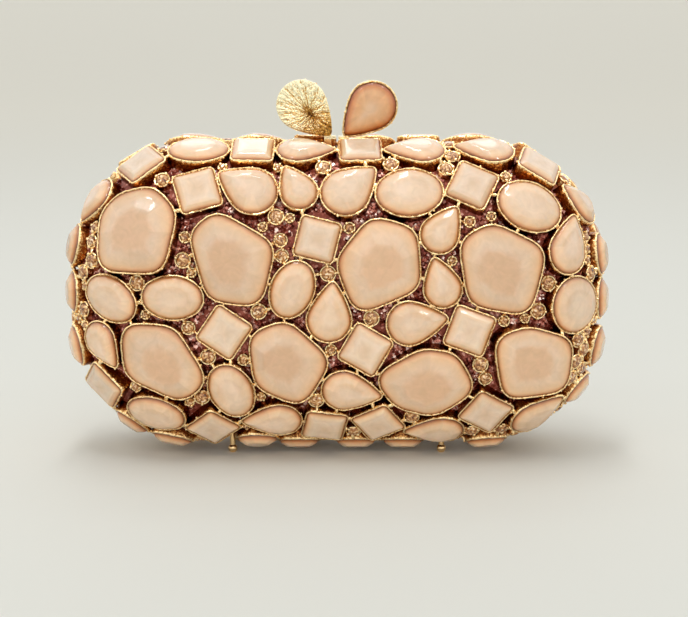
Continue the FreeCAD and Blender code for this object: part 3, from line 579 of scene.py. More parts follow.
@dataclass(frozen=True)
class GlitterCoat(Finish):
    """Fine cut glitter in dark lacquer, laid over the shell.

    Mostly dark wine, with grains painted pink and pale at random as painted glints, each also tilted its own
    way.
    """

    dark: str = "#6C2816"
    wine: str = "#904230"
    rose: str = "#AE6050"
    painted_glint: str = "#FBC8B4"
    grain_mm: float = 0.8
    relief_mm: float = 0.12

    def inputs(self, wire: Wiring, place: Socket) -> dict:
        """One random colour, the palest a painted glint, and one tilt for each grain, from cells of the
        grain's size.

        Args:
            wire: Adds the nodes.
            place: The object's own coordinates.

        Returns:
            The shader's inputs by name.
        """
        grain = wire.cells(place, self.grain_mm)
        # The palest stop is a painted glint
        stops = ((0.0, self.dark), (0.55, self.wine), (0.85, self.rose), (1.0, self.painted_glint))
        return {"Base Color": wire.ramp(grain["Red"], stops), "Metallic": 0.45, "Roughness": 0.35,
                "Normal": wire.bump(grain["Green"], strength=0.9, depth_mm=self.relief_mm)}


@dataclass(frozen=True)
class SparkFilm(Finish):
    """A finish whose every grain or facet has its own place on a ramp of colours.

    Used for chips of metallised film and for foiled glass: the ramp runs from dark to near white, a painted
    sparkle that stands in for their glints.
    """

    stops: Stops = ()
    metallic: float = 0.0
    roughness: float = 0.1
    coat: float = 0.0
    speck_mm: float = 0.6
    speck: float = 0.36

    def inputs(self, wire: Wiring, place: Socket) -> dict:
        """Colour follows the painted sparkle value, shifted by specks.

        Args:
            wire: Adds the nodes.
            place: The object's own coordinates.

        Returns:
            The shader's inputs by name.
        """
        shift = wire.evened(wire.cells(place, self.speck_mm)["Blue"], self.speck)
        return {"Base Color": wire.ramp(wire.math("ADD", wire.held("spark"), shift), self.stops),
                "Metallic": self.metallic, "Roughness": self.roughness, "Coat Weight": self.coat}


@dataclass(frozen=True)
class SatinCloth(Finish):
    """Acetate satin glued over card: a fine sheen with thread lines that barely show."""

    ground: str = "#A9805C"
    light: str = "#C49C74"
    thread_mm: float = 0.5
    relief_mm: float = 0.03
    cloud_mm: float = 14.0
    # How much the threads show in the dye
    thread: float = 0.1

    def inputs(self, wire: Wiring, place: Socket) -> dict:
        """Thread lines from a wave, with soft cloudy variation of the dye.

        Args:
            wire: Adds the nodes.
            place: The object's own coordinates.

        Returns:
            The shader's inputs by name.
        """
        wave = wire.add("TexWave", "Fac", {
            "Vector": place, "Scale": math.pi / 10 / (self.thread_mm * MM), "Distortion": 0.4})
        dye = wire.math("MULTIPLY_ADD", wave, self.thread, wire.noise(place, self.cloud_mm))
        return {"Base Color": wire.ramp(dye, ((0.3, self.ground), (0.9, self.light))),
                "Normal": wire.bump(wave, strength=0.3, depth_mm=self.relief_mm),
                "Roughness": 0.42, "Sheen Weight": 0.5}


@dataclass(frozen=True)
class SweepPaper(Finish):
    """Matt pale studio paper."""

    near: str = "#E3E4DE"
    far: str = "#E7E5DB"
    # Glow of the far paper to the eye and in reflections, and where it starts and is full, in metres
    glow: float = 0.07
    glow_from: Pair = (0.3, 1.8)

    def inputs(self, wire: Wiring, place: Socket) -> dict:
        """Cooler near the clutch and warmer far off, where a glow keeps the backdrop pale.

        Args:
            wire: Adds the nodes.
            place: The object's own coordinates.

        Returns:
            The shader's inputs by name.
        """
        away = wire.add("VectorMath", "Value", {0: place}, operation="LENGTH")
        share = wire.add("MapRange", "Result", {
            "Value": away, "From Min": self.glow_from[0], "From Max": self.glow_from[1]},
            interpolation_type="SMOOTHSTEP")
        seen = wire.math("MULTIPLY", share, wire.seen_rays())
        return {"Base Color": wire.ramp(share, ((0.0, self.near), (1.0, self.far))),
                "Emission Color": linear(self.far),
                "Emission Strength": wire.math("MULTIPLY", seen, self.glow),
                "Roughness": 0.7, "Specular IOR Level": 0.2}


class Finishes:
    """Every material of the clutch and its floor."""

    def __init__(self) -> None:
        """Make them all."""
        self.resin = MilkyResin("polished milky resin").material()
        self.thick_resin = MilkyResin(
            "polished thick milky resin", table="#DFB996", crown="#EAD0B6", shoulder="#EED3B8").material()
        self.deep_resin = MilkyResin(
            "polished deep resin", table="#DEBA94", crown="#E2C09C", shoulder="#DEB48E", girdle_shade_and_glow_mm=8.0, girdle_shade_and_glow=(
                (0.0, "#A05A26"), (0.06, "#D2905A"), (0.14, "#F0C090"), (0.3, "#FBE2C4"), (1.0, "#FFFFFF"),
            )).material()
        self.gold = GoldPlate("plated gold settings").material()
        self.polished = GoldPlate("polished gold plate", bright="#F6D49E", relief_mm=0.02, grain_mm=2.5,
                                  wear=0.7, roughness=(0.12, 0.3)).material()
        self.cast = GoldPlate("cast gold plate", bright="#FFF6D0", side="#D8A24E", deep="#4A200E",
                              grain_mm=0.4, relief_mm=0.16, wear=1.6, roughness=(0.12, 0.3)).material()
        self.steel = GoldPlate("rolled spring steel", bright="#9A9A98", side="#80807E", deep="#60605E",
                               grain_mm=1.5, relief_mm=0.01, wear=1.6).material()
        self.coat = GlitterCoat("wine glitter lacquer").material()
        self.chips = SparkFilm("cut glitter film", metallic=0.6, roughness=0.25, speck_mm=1.4, stops=(
            (0.0, "#581A12"), (0.28, "#863A2C"), (0.5, "#B06656"), (0.7, "#DC9A8C"), (0.86, "#F8C6B8"),
            (1.0, "#FFEADF"),
        )).material()
        self.glass = SparkFilm("foiled champagne glass", metallic=0.25, roughness=0.06, coat=1.0, stops=(
            (0.0, "#44200A"), (0.3, "#905426"), (0.6, "#C88E52"), (0.85, "#EFC68E"), (1.0, "#FFF2DC"),
        )).material()
        self.satin = SatinCloth("lining satin").material()
        self.paper = SweepPaper("pale sweep paper").material()


# Places of stones, read from the frame


@dataclass
class Gem:
    """A stone's seat: the middle of its girdle, three axes, and its outline in the girdle's plane."""

    centre: Array
    axes: Array
    outline: Array
    # How far above and below the girdle the stone and its cup cover things
    cover: float = 12.0 * MM

    def space(self, across: Array, up: Array, out: Array) -> Array:
        """Points in space for coordinates along the stone's own axes."""
        local = np.stack(np.broadcast_arrays(across, up, out), axis=-1)
        return self.centre + local @ self.axes

    @property
    def length(self) -> float:
        """The outline's length round."""
        return float(np.linalg.norm(np.roll(self.outline, -1, axis=0) - self.outline, axis=1).sum())

    @property
    def radius(self) -> float:
        """The mean distance from the middle to the outline."""
        return float(np.hypot(self.outline[:, 0], self.outline[:, 1]).mean())

    def covers(self, points: Array, margin: float) -> Array:
        """Which points lie under the stone's outline, seen along its axis.

        Args:
            points: Points in space.
            margin: How far the cup stands out of the outline.

        Returns:
            True for each covered point.
        """
        local = (points - self.centre) @ self.axes.T
        angle = np.arctan2(self.outline[:, 1], self.outline[:, 0])
        order = np.argsort(angle)
        reach = np.interp(np.arctan2(local[:, 1], local[:, 0]), angle[order],
                          np.hypot(self.outline[:, 0], self.outline[:, 1])[order], period=TURN)
        return (np.abs(local[:, 2]) < self.cover) & (np.hypot(local[:, 0], local[:, 1]) < reach + margin)


def split_solids(node: str) -> list[tuple[Array, Array]]:
    """Split a node's mesh into its separate solids.

    Points that share a place are merged; then every point takes the lowest number that reaches it
    over the triangles' edges, until nothing changes.

    Args:
        node: The frame node's name.

    Returns:
        Points and triangles of each solid.
    """
    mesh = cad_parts[node].data
    mesh.calc_loop_triangles()
    raw = np.zeros(len(mesh.vertices) * 3, np.float32)
    mesh.vertices.foreach_get("co", raw)
    flat = np.zeros(len(mesh.loop_triangles) * 3, np.int32)
    mesh.loop_triangles.foreach_get("vertices", flat)
    keys, inverse = np.unique(np.round(raw.reshape(-1, 3) / WELD), axis=0, return_inverse=True)
    points = keys * WELD
    tris = inverse.ravel()[flat].reshape(-1, 3)
    label = np.arange(len(points))
    while True:
        lowest = label[tris].min(axis=1)
        new = label.copy()
        for corner in range(3):
            np.minimum.at(new, tris[:, corner], lowest)
        if (new == label).all():
            break
        label = new[new]
    solids = []
    for name in np.unique(label[tris[:, 0]]):
        used, renumbered = np.unique(tris[label[tris[:, 0]] == name], return_inverse=True)
        solids.append((points[used], renumbered.reshape(-1, 3)))
    return solids


def read_gem(points: Array, tris: Array) -> Gem:
    """Read a stone's seat from its solid.

    The largest flat group of faces is the stone's base. Levels along the base's normal give the
    girdle, and the base's corners, taken by angle round its middle, give the outline. The middle is
    found in two rounds from even steps along the outline.

    Args:
        points: The solid's points.
        tris: Its triangles.

    Returns:
        The stone's seat.
    """
    a, b, c = (points[tris[:, k]] for k in range(3))
    cross = np.cross(b - a, c - a)
    area = np.linalg.norm(cross, axis=1)
    solid = area > area.max() * 1e-6
    facing = cross[solid] / area[solid, None]
    group = np.unique(np.round(facing, 2), axis=0, return_inverse=True)[1].ravel()
    largest = group == np.argmax(np.bincount(group, weights=area[solid]))
    normal = unit(-(facing[largest] * area[solid][largest, None]).sum(axis=0))
    level = points @ normal
    order = np.sort(level)
    levels = order[np.concatenate([[True], np.diff(order) > LEVEL_STEP])]
    base = points[level < levels[0] + BASE_BAND]
    side = np.array([1.0, 0.0, 0.0]) if abs(normal[0]) < 0.8 else np.array([0.0, 0.0, 1.0])
    across = unit(side - normal * (side @ normal))
    axes = np.stack([across, np.cross(normal, across), normal])

    def by_angle(middle: Array) -> Array:
        """The base's corners in order round a middle, in the base's plane."""
        flat = (base - middle) @ axes.T
        return flat[np.argsort(np.arctan2(flat[:, 1], flat[:, 0])), :2]

    middle = base.mean(axis=0)
    for _ in range(2):
        middle = middle + np.append(even_steps(by_angle(middle), CENTRE_STEPS).mean(axis=0), 0.0) @ axes
    ring = by_angle(middle)
    ring = np.roll(ring, -int(np.argmax(np.hypot(ring[:, 0], ring[:, 1]))), axis=0)
    return Gem(middle + normal * (levels[1] - levels[0]), axes, ring)


def read_gems(node: str, tumbled: float = 0.0, swell: float = 0.0) -> list[Gem]:
    """Every stone's seat in a node, with its corners tumbled round and its edge bulging.

    The outline is taken as a closed wave in the plane and its quick turns are faded out, as by a
    blur along the line; then it is scaled to the area that it had.

    Args:
        node: The frame node's name.
        tumbled: Length of the blur along the outline.
        swell: How far the outline bulges all round.

    Returns:
        The seats.
    """
    gems = [read_gem(points, tris) for points, tris in split_solids(node)]
    for gem in gems if tumbled else ():
        line = even_steps(gem.outline, TUMBLE_STEPS)
        crisp = line[:, 0] + 1j * line[:, 1]
        turns = np.fft.fftfreq(TUMBLE_STEPS, 1 / TUMBLE_STEPS) * TURN * tumbled / gem.length
        soft = np.fft.ifft(np.fft.fft(crisp) * np.exp(-turns ** 2 / 2))
        swept = [np.sum(w.real * np.roll(w.imag, -1) - w.imag * np.roll(w.real, -1))
                 for w in (crisp, soft)]
        soft = soft * math.sqrt(swept[0] / swept[1])
        gem.outline = np.stack([soft.real, soft.imag], axis=1)
    for gem in gems:
        gem.outline = gem.outline * (1.0 + swell / gem.radius)
    return gems


@dataclass(frozen=True)
class Dome:
    """The front shell's face: a flat top with an elliptical edge down to a rounded rectangle."""

    half_width: float = 83.0 * MM
    half_height: float = 46.0 * MM
    corner: float = 38.0 * MM
    reach: float = 34.0 * MM
    depth: float = 22.0 * MM
    band: float = 4.5 * MM
    middle: float = 52.0 * MM
    # Halvings that find where a line meets the dome, and the share where its side counts as upright
    halvings: int = 24
    steepest_share: float = 0.9999

    def away(self, x: Array, z: Array) -> tuple[Array, Array, Array]:
        """How far places lie outside the flat top: by a corner's radius, or else by the nearer side.

        Args:
            x: Places across, in the mouth's plane.
            z: Places up.

        Returns:
            The distances, and the direction away from the top across and up.
        """
        over_x = np.abs(x) - (self.half_width - self.corner)
        over_z = np.abs(z - self.middle) - (self.half_height - self.corner)
        both = (over_x > 0) & (over_z > 0)
        length = np.maximum(np.hypot(over_x, over_z), TINY)
        distance = np.where(both, length, np.maximum(over_x, over_z)) - (self.corner - self.reach)
        way_x = np.where(both, over_x / length, over_x > over_z) * np.sign(x)
        way_z = np.where(both, over_z / length, over_x <= over_z) * np.sign(z - self.middle)
        return distance, way_x, way_z

    def inside(self, points: Array) -> Array:
        """Which points are within the dome, whose edge is an ellipse from the top to the mouth.

        Args:
            points: Points in space.

        Returns:
            True for each point inside.
        """
        distance = np.maximum(self.away(points[..., 0], points[..., 2])[0], 0.0)
        front = np.maximum(-points[..., 1] - self.band, 0.0)
        return np.hypot(distance / self.reach, front / self.depth) < 1.0

    def drop(self, points: Array, way: Array, most: float) -> Array:
        """How far each point goes along a direction before it meets the dome, found by halving.

        Args:
            points: Points outside the dome.
            way: The direction.
            most: The furthest that is looked at.

        Returns:
            The distances.
        """
        low = np.zeros(points.shape[:-1])
        high = np.full(points.shape[:-1], most)
        for _ in range(self.halvings):
            half = (low + high) / 2
            within = self.inside(points + half[..., None] * way)
            high = np.where(within, half, high)
            low = np.where(within, low, half)
        return high

    def scatter(self, rng: Random, tries: int, edge: float) -> tuple[Array, Array]:
        """Random points of the dome, even over the mouth's plane.

        Args:
            rng: The random source.
            tries: Places tried in the box round the mouth.
            edge: Share of the way down to the mouth where the points stop.

        Returns:
            The points and the dome's outward normals.
        """
        x = rng.uniform(-self.half_width, self.half_width, tries)
        z = rng.uniform(-self.half_height, self.half_height, tries) + self.middle
        on = self.away(x, z)[0] < self.reach * edge
        x, z = x[on], z[on]
        distance, way_x, way_z = self.away(x, z)
        share = np.clip(distance / self.reach, 0.0, self.steepest_share)
        rise = np.sqrt(1.0 - share ** 2)
        points = np.stack([x, -self.band - self.depth * rise, z], axis=-1)
        normal = np.stack([way_x * share / self.reach, -rise / self.depth,
                           way_z * share / self.reach], axis=-1)
        return points, unit(normal)


# Sub-assemblies


@dataclass
class StoneWork:
    """Cut resin stones in gold cups."""

    # Rings of a stone from its foot up: how far from the outline to the table, height above the rim in
    # millimetres, and how far the ring has turned from the smooth outline into facets
    rings: tuple[Triple, ...] = (
        (0.0, -1.6, 0.0), (0.0, -0.25, 0.0), (0.03, 0.2, 0.0), (0.24, 1.0, 0.5), (0.36, 1.28, 0.8),
        (0.86, 2.16, 1.0), (1.0, 2.38, 1.0), (1.14, 2.44, 1.0), (1.6, 2.5, 1.0),
    )
    # Cup section from the outer foot to the inner foot: outward from the stone, above the rim, and painted
    # shade, darkest at the feet and along the inner lip by the stone
    section: tuple[Triple, ...] = (
        (0.72, -2.60, 1.1), (0.70, -1.30, 0.9), (0.68, -0.55, 0.5), (0.68, -0.26, 0.2), (0.58, 0.06, 0.0),
        (0.40, 0.20, 0.0), (0.24, 0.15, 0.1), (0.12, 0.02, 0.6), (-0.05, 0.04, 0.8), (0.05, -0.60, 1.0),
        (0.12, -2.60, 1.0),
    )
    # The top's rise over its last ring in millimetres, and how far in from the edge it counts
    peak_mm: float = 0.02
    inmost: float = 10.0 * MM
    # How far facets differ by painted shade, out to this share of the table
    facet_tint: float = 1.3
    flat_share: float = 0.9
    fewest_per_facet: int = 4
    facet_step: float = 0.7 * MM
    # Solder beads on the rim: sizes, spacing, distance out and height
    bead: Pair = (0.24 * MM, 0.46 * MM)
    bead_step: float = 9.0 * MM
    bead_out: Pair = (0.5, 0.8)
    bead_up: Pair = (-0.4, 0.1)
    # Painted shade of the beads, a little darker than the rim
    bead_shade: float = 0.05
    fewest_beads: int = 3
    # Steps along a cup, and which points of its section are the outside, the rim and the foot
    cup_step: float = 0.5 * MM
    fewest_columns: int = 32
    outside_from: float = 0.3 * MM
    rim_band: float = 0.3 * MM
    foot_below: float = -2.0 * MM
    # Ribs on the lowest rows of the outside, and the rim's uneven run
    rib_rows: int = 3
    rib_waves: float = 2.0 * MM
    rib_height: float = 0.07 * MM
    wobble: float = 0.11 * MM
    shortest_wobble: float = 2.4 * MM
    fewest_wobbles: int = 3
    wobble_terms: int = 7
    longest_skirt: float = 6.0 * MM
    swell: float = 0.3 * MM
    crisp: float = 32.0
    seed: int = 11

    def stone(self, mesh: Mesh, gem: Gem, cut: Cut, rng: Random) -> None:
        """Add one stone: rings of the outline, drawn in and turned into facets, closed at two poles.

        Args:
            mesh: The mesh to add to.
            gem: The stone's seat.
            cut: How it is cut.
            rng: The random source.
        """
        shape = cut.value
        facets = shape.facets
        each = max(self.fewest_per_facet, round(gem.length / facets / self.facet_step))
        columns = facets * each
        smooth = even_steps(gem.outline, columns)
        corners = smooth[::each]
        along = (np.arange(columns) % each / each)[:, None]
        chords = np.repeat(corners, each, axis=0) * (1 - along)
        chords = chords + np.repeat(np.roll(corners, -1, axis=0), each, axis=0) * along
        run, height, turned = np.array(self.rings).T
        height = np.where(height > 0, height * shape.tall, height)
        share = 1.0 + (shape.table - 1.0) * run
        rows = len(share)
        wander = rng.uniform(-1.0, 1.0, 2) * shape.wander * np.abs(gem.outline).max()
        ring = smooth + turned[:, None, None] * (chords - smooth)
        ring = ring * share[:, None, None] + wander * (1 - share)[:, None, None]
        points = gem.space(ring[..., 0], ring[..., 1], (height * MM)[:, None])
        foot = gem.space(np.zeros(1), np.zeros(1), np.full(1, height[0] * MM))
        top = gem.space(wander[:1], wander[1:], np.full(1, (height[-1] + self.peak_mm) * MM))
        reach = np.append(np.repeat(share, columns), [1.0, 0.0])
        # Each facet takes a random painted shade, on top of the stone's random tone
        facet = np.append(np.tile(np.repeat(rng.uniform(-1.0, 1.0, facets), each), rows), [0.0, 0.0])
        flat = reach > shape.table * self.flat_share
        tint = rng.uniform(-1.0, 1.0) + shape.shade + self.facet_tint * facet * flat
        radius = np.append(np.tile(np.hypot(smooth[:, 0], smooth[:, 1]), rows), [0.0, self.inmost])
        mesh.add(np.vstack([points.reshape(-1, 3), foot, top]), *capped(rows, columns), tint=tint,
                 core=np.maximum(reach, shape.tone), rim=(1 - reach) * radius / MM * shape.glow)

    def cup(self, mesh: Mesh, gem: Gem, dome: Dome | None, rng: Random, grow: float = 0.0,
            age: float = 0.0) -> None:
        """Add one cup: its section carried along the outline, with the foot let down to the dome.

        The rim swells and sinks a little along its run and the outside is ribbed. Beads of solder
        cling to the outside of the rim.

        Args:
            mesh: The mesh to add to.
            gem: The stone's seat.
            dome: The dome that the foot goes down to, or none for a cup that stands free and plain.
            rng: The random source.
            grow: How much further out the outside stands.
            age: Added to the painted shade, all over the cup.
        """
        columns = max(self.fewest_columns, round(gem.length / self.cup_step))
        line = even_steps(gem.outline, columns)
        side = side_of(line)
        out, height, painted_shade = np.array(self.section).T * np.array([[MM], [MM], [1.0]])
        rows = len(out)
        most = round(gem.length / self.shortest_wobble)
        uneven, lifted = (ripple(rng, columns, (self.fewest_wobbles, most), self.wobble_terms) * self.wobble
                          for _ in range(2))
        ribs = np.cos(np.arange(columns) * TURN * max(1, round(gem.length / self.rib_waves)) / columns)
        ribs = ribs * (dome is not None)
        outside = out > self.outside_from
        low = np.arange(rows) < self.rib_rows
        reach = (out + outside * grow)[:, None] + (low[:, None] * ribs) * self.rib_height
        reach = reach + (outside & ~low)[:, None] * uneven
        level = height[:, None] + (np.abs(height) < self.rim_band)[:, None] * lifted
        if dome is not None:
            edge = line + side * out[0]
            foot = gem.space(edge[:, 0], edge[:, 1], np.full(columns, height[0]))
            down = dome.drop(foot, -gem.axes[2], self.longest_skirt)
            level = level - (height < self.foot_below)[:, None] * down
        ring = line + reach[..., None] * side
        points = gem.space(ring[..., 0], ring[..., 1], level).reshape(-1, 3)
        # Painted shade for each row of the section
        mesh.add(points, ring_faces(rows, columns, True), depth=np.repeat(painted_shade + age, columns))
        count = max(self.fewest_beads, round(gem.length / self.bead_step))
        chosen = rng.integers(0, columns, count)
        at = line[chosen] + side[chosen] * rng.uniform(*self.bead_out, (count, 1)) * MM
        places = gem.space(at[:, 0], at[:, 1], rng.uniform(*self.bead_up, count) * MM)
        size = rng.uniform(*self.bead, count)
        mesh.add_many(ball(), places, gem.axes[None] * size[:, None, None],
                      depth=np.full(count, self.bead_shade))

    def build(self, finishes: Finishes, dome: Dome) -> list[Gem]:
        """Make the stones and cups of both halves.

        Args:
            finishes: The materials.
            dome: The dome that the cups stand on.

        Returns:
            The front half's seats, for what goes between them.
        """
        seats = []
        for cut in (Cut.LARGE, Cut.OVAL, Cut.PEAR, Cut.SQUARE, Cut.EDGE):
            word = cut.value.word
            resin = finishes.thick_resin if cut is Cut.LARGE else finishes.resin
            gems = read_gems(f"front_{word}_stones", cut.value.tumbled, self.swell)
            seats += gems
            rng = np.random.default_rng(self.seed)
            stones, cups = Mesh(), Mesh()
            for gem in gems:
                self.stone(stones, gem, cut, rng)
                self.cup(cups, gem, dome, rng)
            for half in Half:
                stones.piece(half, f"{word}_resin_stones", "half", resin, "peach_resin", f"{word}_stones",
                             self.crisp)
                cups.piece(half, f"{word}_cups", "half", finishes.gold, "gold_settings", f"{word}_settings")
        return seats


@dataclass
class RhinestoneWork:
    """Small foiled stones in collars, each held by four prongs."""

    columns: int = 16
    collar_columns: int = 20
    # Stone rings from the foot up: share of the radius, and height in millimetres
    rings: tuple[Pair, ...] = ((1.0, -1.1), (1.0, -0.1), (0.86, 0.42), (0.58, 0.82), (0.3, 0.86))
    # Collar section from the outer foot to the inner foot: outward, and height, in millimetres
    section: tuple[Pair, ...] = (
        (0.62, -2.1), (0.56, -1.0), (0.62, -0.2), (0.45, 0.05), (0.14, -0.02), (0.1, -2.1),
    )
    foot_below: float = -2.0 * MM
    swell: float = 0.48 * MM
    # Where on the glass's ramp of colours its corners lie at random, as painted sparkle, and the angle whose
    # edges stay crisp
    spark: Pair = (0.05, 1.0)
    crisp: float = 5.0
    longest_skirt: float = 3.0 * MM
    # Depth over which painted shade deepens down each collar
    painted_shade_depth: float = 3.5 * MM
    # Prongs: how many, their size, and how far out and up they stand
    prongs: int = 4
    prong: float = 0.62 * MM
    prong_out: float = 0.22 * MM
    prong_up: float = 0.12 * MM
    # Smaller stones that fill the gaps, the largest first, clear of the fittings
    filler_sizes: tuple[float, ...] = (1.75 * MM, 1.4 * MM, 1.1 * MM)
    filler_gap: float = 1.1 * MM
    filler_lift: float = 1.6 * MM
    filler_tries: int = 30000
    filler_edge: float = 0.985
    clear_of: tuple[str, ...] = ("front_feet", "front_clasp_bracket", "front_hinge_leaf")
    clearance: float = 2.0 * MM
    seed: int = 5

    def stone(self, mesh: Mesh, gem: Gem, rng: Random) -> None:
        """Add one stone: rings turned half a facet from each other, so that kites lie between them.

        Args:
            mesh: The mesh to add to.
            gem: The stone's seat.
            rng: The random source.
        """
        share, height = np.array(self.rings).T
        rows = len(share)
        half_facet = (np.arange(rows) % 2)[:, None] * math.pi / self.columns
        angle = around(self.columns)[None, :] + half_facet + rng.uniform(0.0, 1.0)
        reach = share[:, None] * gem.radius
        points = gem.space(reach * np.cos(angle), reach * np.sin(angle), (height * MM)[:, None])
        points = points.reshape(-1, 3)
        poles = gem.space(np.zeros(2), np.zeros(2), np.array([height[0], height[-1]]) * MM)
        # Each corner takes a random painted sparkle
        spark = rng.uniform(*self.spark, len(points) + 2)
        mesh.add(np.vstack([points, poles]), *capped(rows, self.columns), spark=spark)

    def collar(self, mesh: Mesh, gem: Gem, dome: Dome, rng: Random) -> None:
        """Add one collar: its section carried round the girdle, and the prongs as small beads.

        Args:
            mesh: The mesh to add to.
            gem: The stone's seat.
            dome: The dome that the foot goes down to.
            rng: The random source.
        """
        out, height = np.array(self.section).T * MM
        angle = around(self.collar_columns)[None, :]
        reach = (gem.radius + out)[:, None]
        foot = gem.space(reach[0] * np.cos(angle[0]), reach[0] * np.sin(angle[0]),
                         np.full(self.collar_columns, height[0]))
        down = dome.drop(foot, -gem.axes[2], self.longest_skirt)
        level = height[:, None] - (height < self.foot_below)[:, None] * down
        points = gem.space(reach * np.cos(angle), reach * np.sin(angle), level)
        # Painted shade deepens down the collar towards its foot
        mesh.add(points.reshape(-1, 3), ring_faces(len(out), self.collar_columns, True),
                 depth=np.clip(-level / self.painted_shade_depth, 0.0, 1.0).ravel())
        turn = rng.uniform(0.0, math.pi / 2) + np.arange(self.prongs) * TURN / self.prongs
        stand = gem.radius + self.prong_out
        places = gem.space(np.cos(turn) * stand, np.sin(turn) * stand, np.full(self.prongs, self.prong_up))
        frames = np.broadcast_to(gem.axes * self.prong, (self.prongs, 3, 3))
        mesh.add_many(ball(), places, frames, depth=np.zeros(self.prongs))

    def fillers(self, dome: Dome, seats: list[Gem]) -> list[Gem]:
        """Seats for the smaller stones: random places on the shell, taken while there is room.

        Args:
            dome: The dome.
            seats: Stones that are already there.

        Returns:
            The new seats.
        """
        points, normals = dome.scatter(np.random.default_rng(self.seed), self.filler_tries, self.filler_edge)
        clear = np.ones(len(points), bool)
        for node in self.clear_of:
            low, high = (np.array(corner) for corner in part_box(node))
            clear &= ~((points > low - self.clearance) & (points < high + self.clearance)).all(axis=1)
        turn = around(self.columns)
        circle = np.stack([np.cos(turn), np.sin(turn)], axis=1)
        found: list[Gem] = []
        for size in self.filler_sizes:
            room = clear.copy()
            for gem in seats + found:
                room &= ~gem.covers(points, size + self.filler_gap)
            while room.any():
                at = int(np.argmax(room))
                across = unit(np.cross([0.0, 0.0, 1.0], normals[at]))
                axes = np.stack([across, np.cross(normals[at], across), normals[at]])
                found.append(Gem(points[at] + normals[at] * self.filler_lift, axes, circle * size))
                room &= ~found[-1].covers(points, size + self.filler_gap)
        LOG.info("%d small stones fill the gaps", len(found))
        return found

    def build(self, finishes: Finishes, dome: Dome, seats: list[Gem]) -> list[Gem]:
        """Make the small stones and collars of both halves.

        Args:
            finishes: The materials.
            dome: The dome that they stand on.
            seats: Seats of the larger stones.

        Returns:
            The front half's seats.
        """
        gems = read_gems("front_rhinestone_stones", 0.0, self.swell)
        gems += self.fillers(dome, seats + gems)
        rng = np.random.default_rng(self.seed)
        stones, collars = Mesh(), Mesh()
        for gem in gems:
            self.stone(stones, gem, rng)
            self.collar(collars, gem, dome, rng)
        for half in Half:
            stones.piece(half, "champagne_rhinestones", "half", finishes.glass, "champagne_glass",
                         "rhinestone_stones", self.crisp)
            collars.piece(half, "rhinestone_collars", "half", finishes.gold, "gold_settings",
                          "rhinestone_settings")
        return gems


@dataclass
class GlitterWork:
    """Chips of cut film scattered over the shell where no cup covers it."""

    # Real chips are about 0.2 mm across, too fine to show, so they are drawn coarser
    tries: int = 90000
    most: int = 5500
    edge: float = 0.992
    chip: Pair = (0.45 * MM, 1.1 * MM)
    grain: Pair = (0.35 * MM, 0.9 * MM)
    lean: float = 0.35
    margin: float = 1.0 * MM
    # Share of the places kept on the flat top, and the two shapes of the spread of painted sparkle
    flat_share: float = 0.5
    sparks: Pair = (0.5, 0.7)
    # A chip's corners, below and above, in its own radius and height
    corners: tuple[Triple, ...] = (
        (1, 0, -0.3), (0, 1, -0.3), (-1, 0, -0.3), (0, -1, -0.3),
        (0.62, 0, 0.8), (0, 0.62, 1.0), (-0.62, 0, 0.9), (0, -0.62, 0.7),
    )
    seed: int = 23

    def places(self, dome: Dome, seats: list[Gem], rng: Random) -> tuple[Array, Array]:
        """Scatter places evenly over the dome and drop the covered ones.

        A place over the mouth's plane is kept more often where the dome is steep, in step with
        the area that it stands for.

        Args:
            dome: The dome.
            seats: The stones whose cups cover it.
            rng: The random source.

        Returns:
            Points and normals.
        """
        points, normals = dome.scatter(rng, self.tries, self.edge)
        steep = np.minimum(1.0, self.flat_share / np.abs(normals[:, 1]))
        kept = rng.uniform(0.0, 1.0, len(points)) < steep
        points, normals = points[kept], normals[kept]
        covered = np.zeros(len(points), bool)
        for gem in seats:
            covered |= gem.covers(points, self.margin)
        points, normals = points[~covered], normals[~covered]
        chosen = rng.permutation(len(points))[:self.most]
        return points[chosen], normals[chosen]

    def build(self, finishes: Finishes, dome: Dome, seats: list[Gem]) -> None:
        """Make the chips: small blunt pyramids that stand in the lacquer, each leaning its own way.

        Args:
            finishes: The materials.
            dome: The dome that they lie on.
            seats: The stones whose cups cover it.
        """
        rng = np.random.default_rng(self.seed)
        points, normals = self.places(dome, seats, rng)
        count = len(points)
        tilted = unit(normals + rng.normal(0.0, self.lean, (count, 3)))
        across = unit(np.cross(tilted, rng.normal(0.0, 1.0, (count, 3))))
        radius = rng.uniform(*self.chip, count)[:, None]
        tall = rng.uniform(*self.grain, count)[:, None]
        frames = np.stack([across * radius, np.cross(tilted, across) * radius, tilted * tall], axis=1)
        quads = np.vstack([ring_faces(2, 4), [[3, 2, 1, 0], [4, 5, 6, 7]]])
        mesh = Mesh()
        # Each chip takes a random painted sparkle, among the film's own wine and rose
        mesh.add_many((np.array(self.corners), quads, np.zeros((0, 3), int)), points, frames,
                      spark=rng.beta(*self.sparks, count))
        for half in Half:
            mesh.piece(half, "glitter_chips", "half", finishes.chips, "glitter_shell")


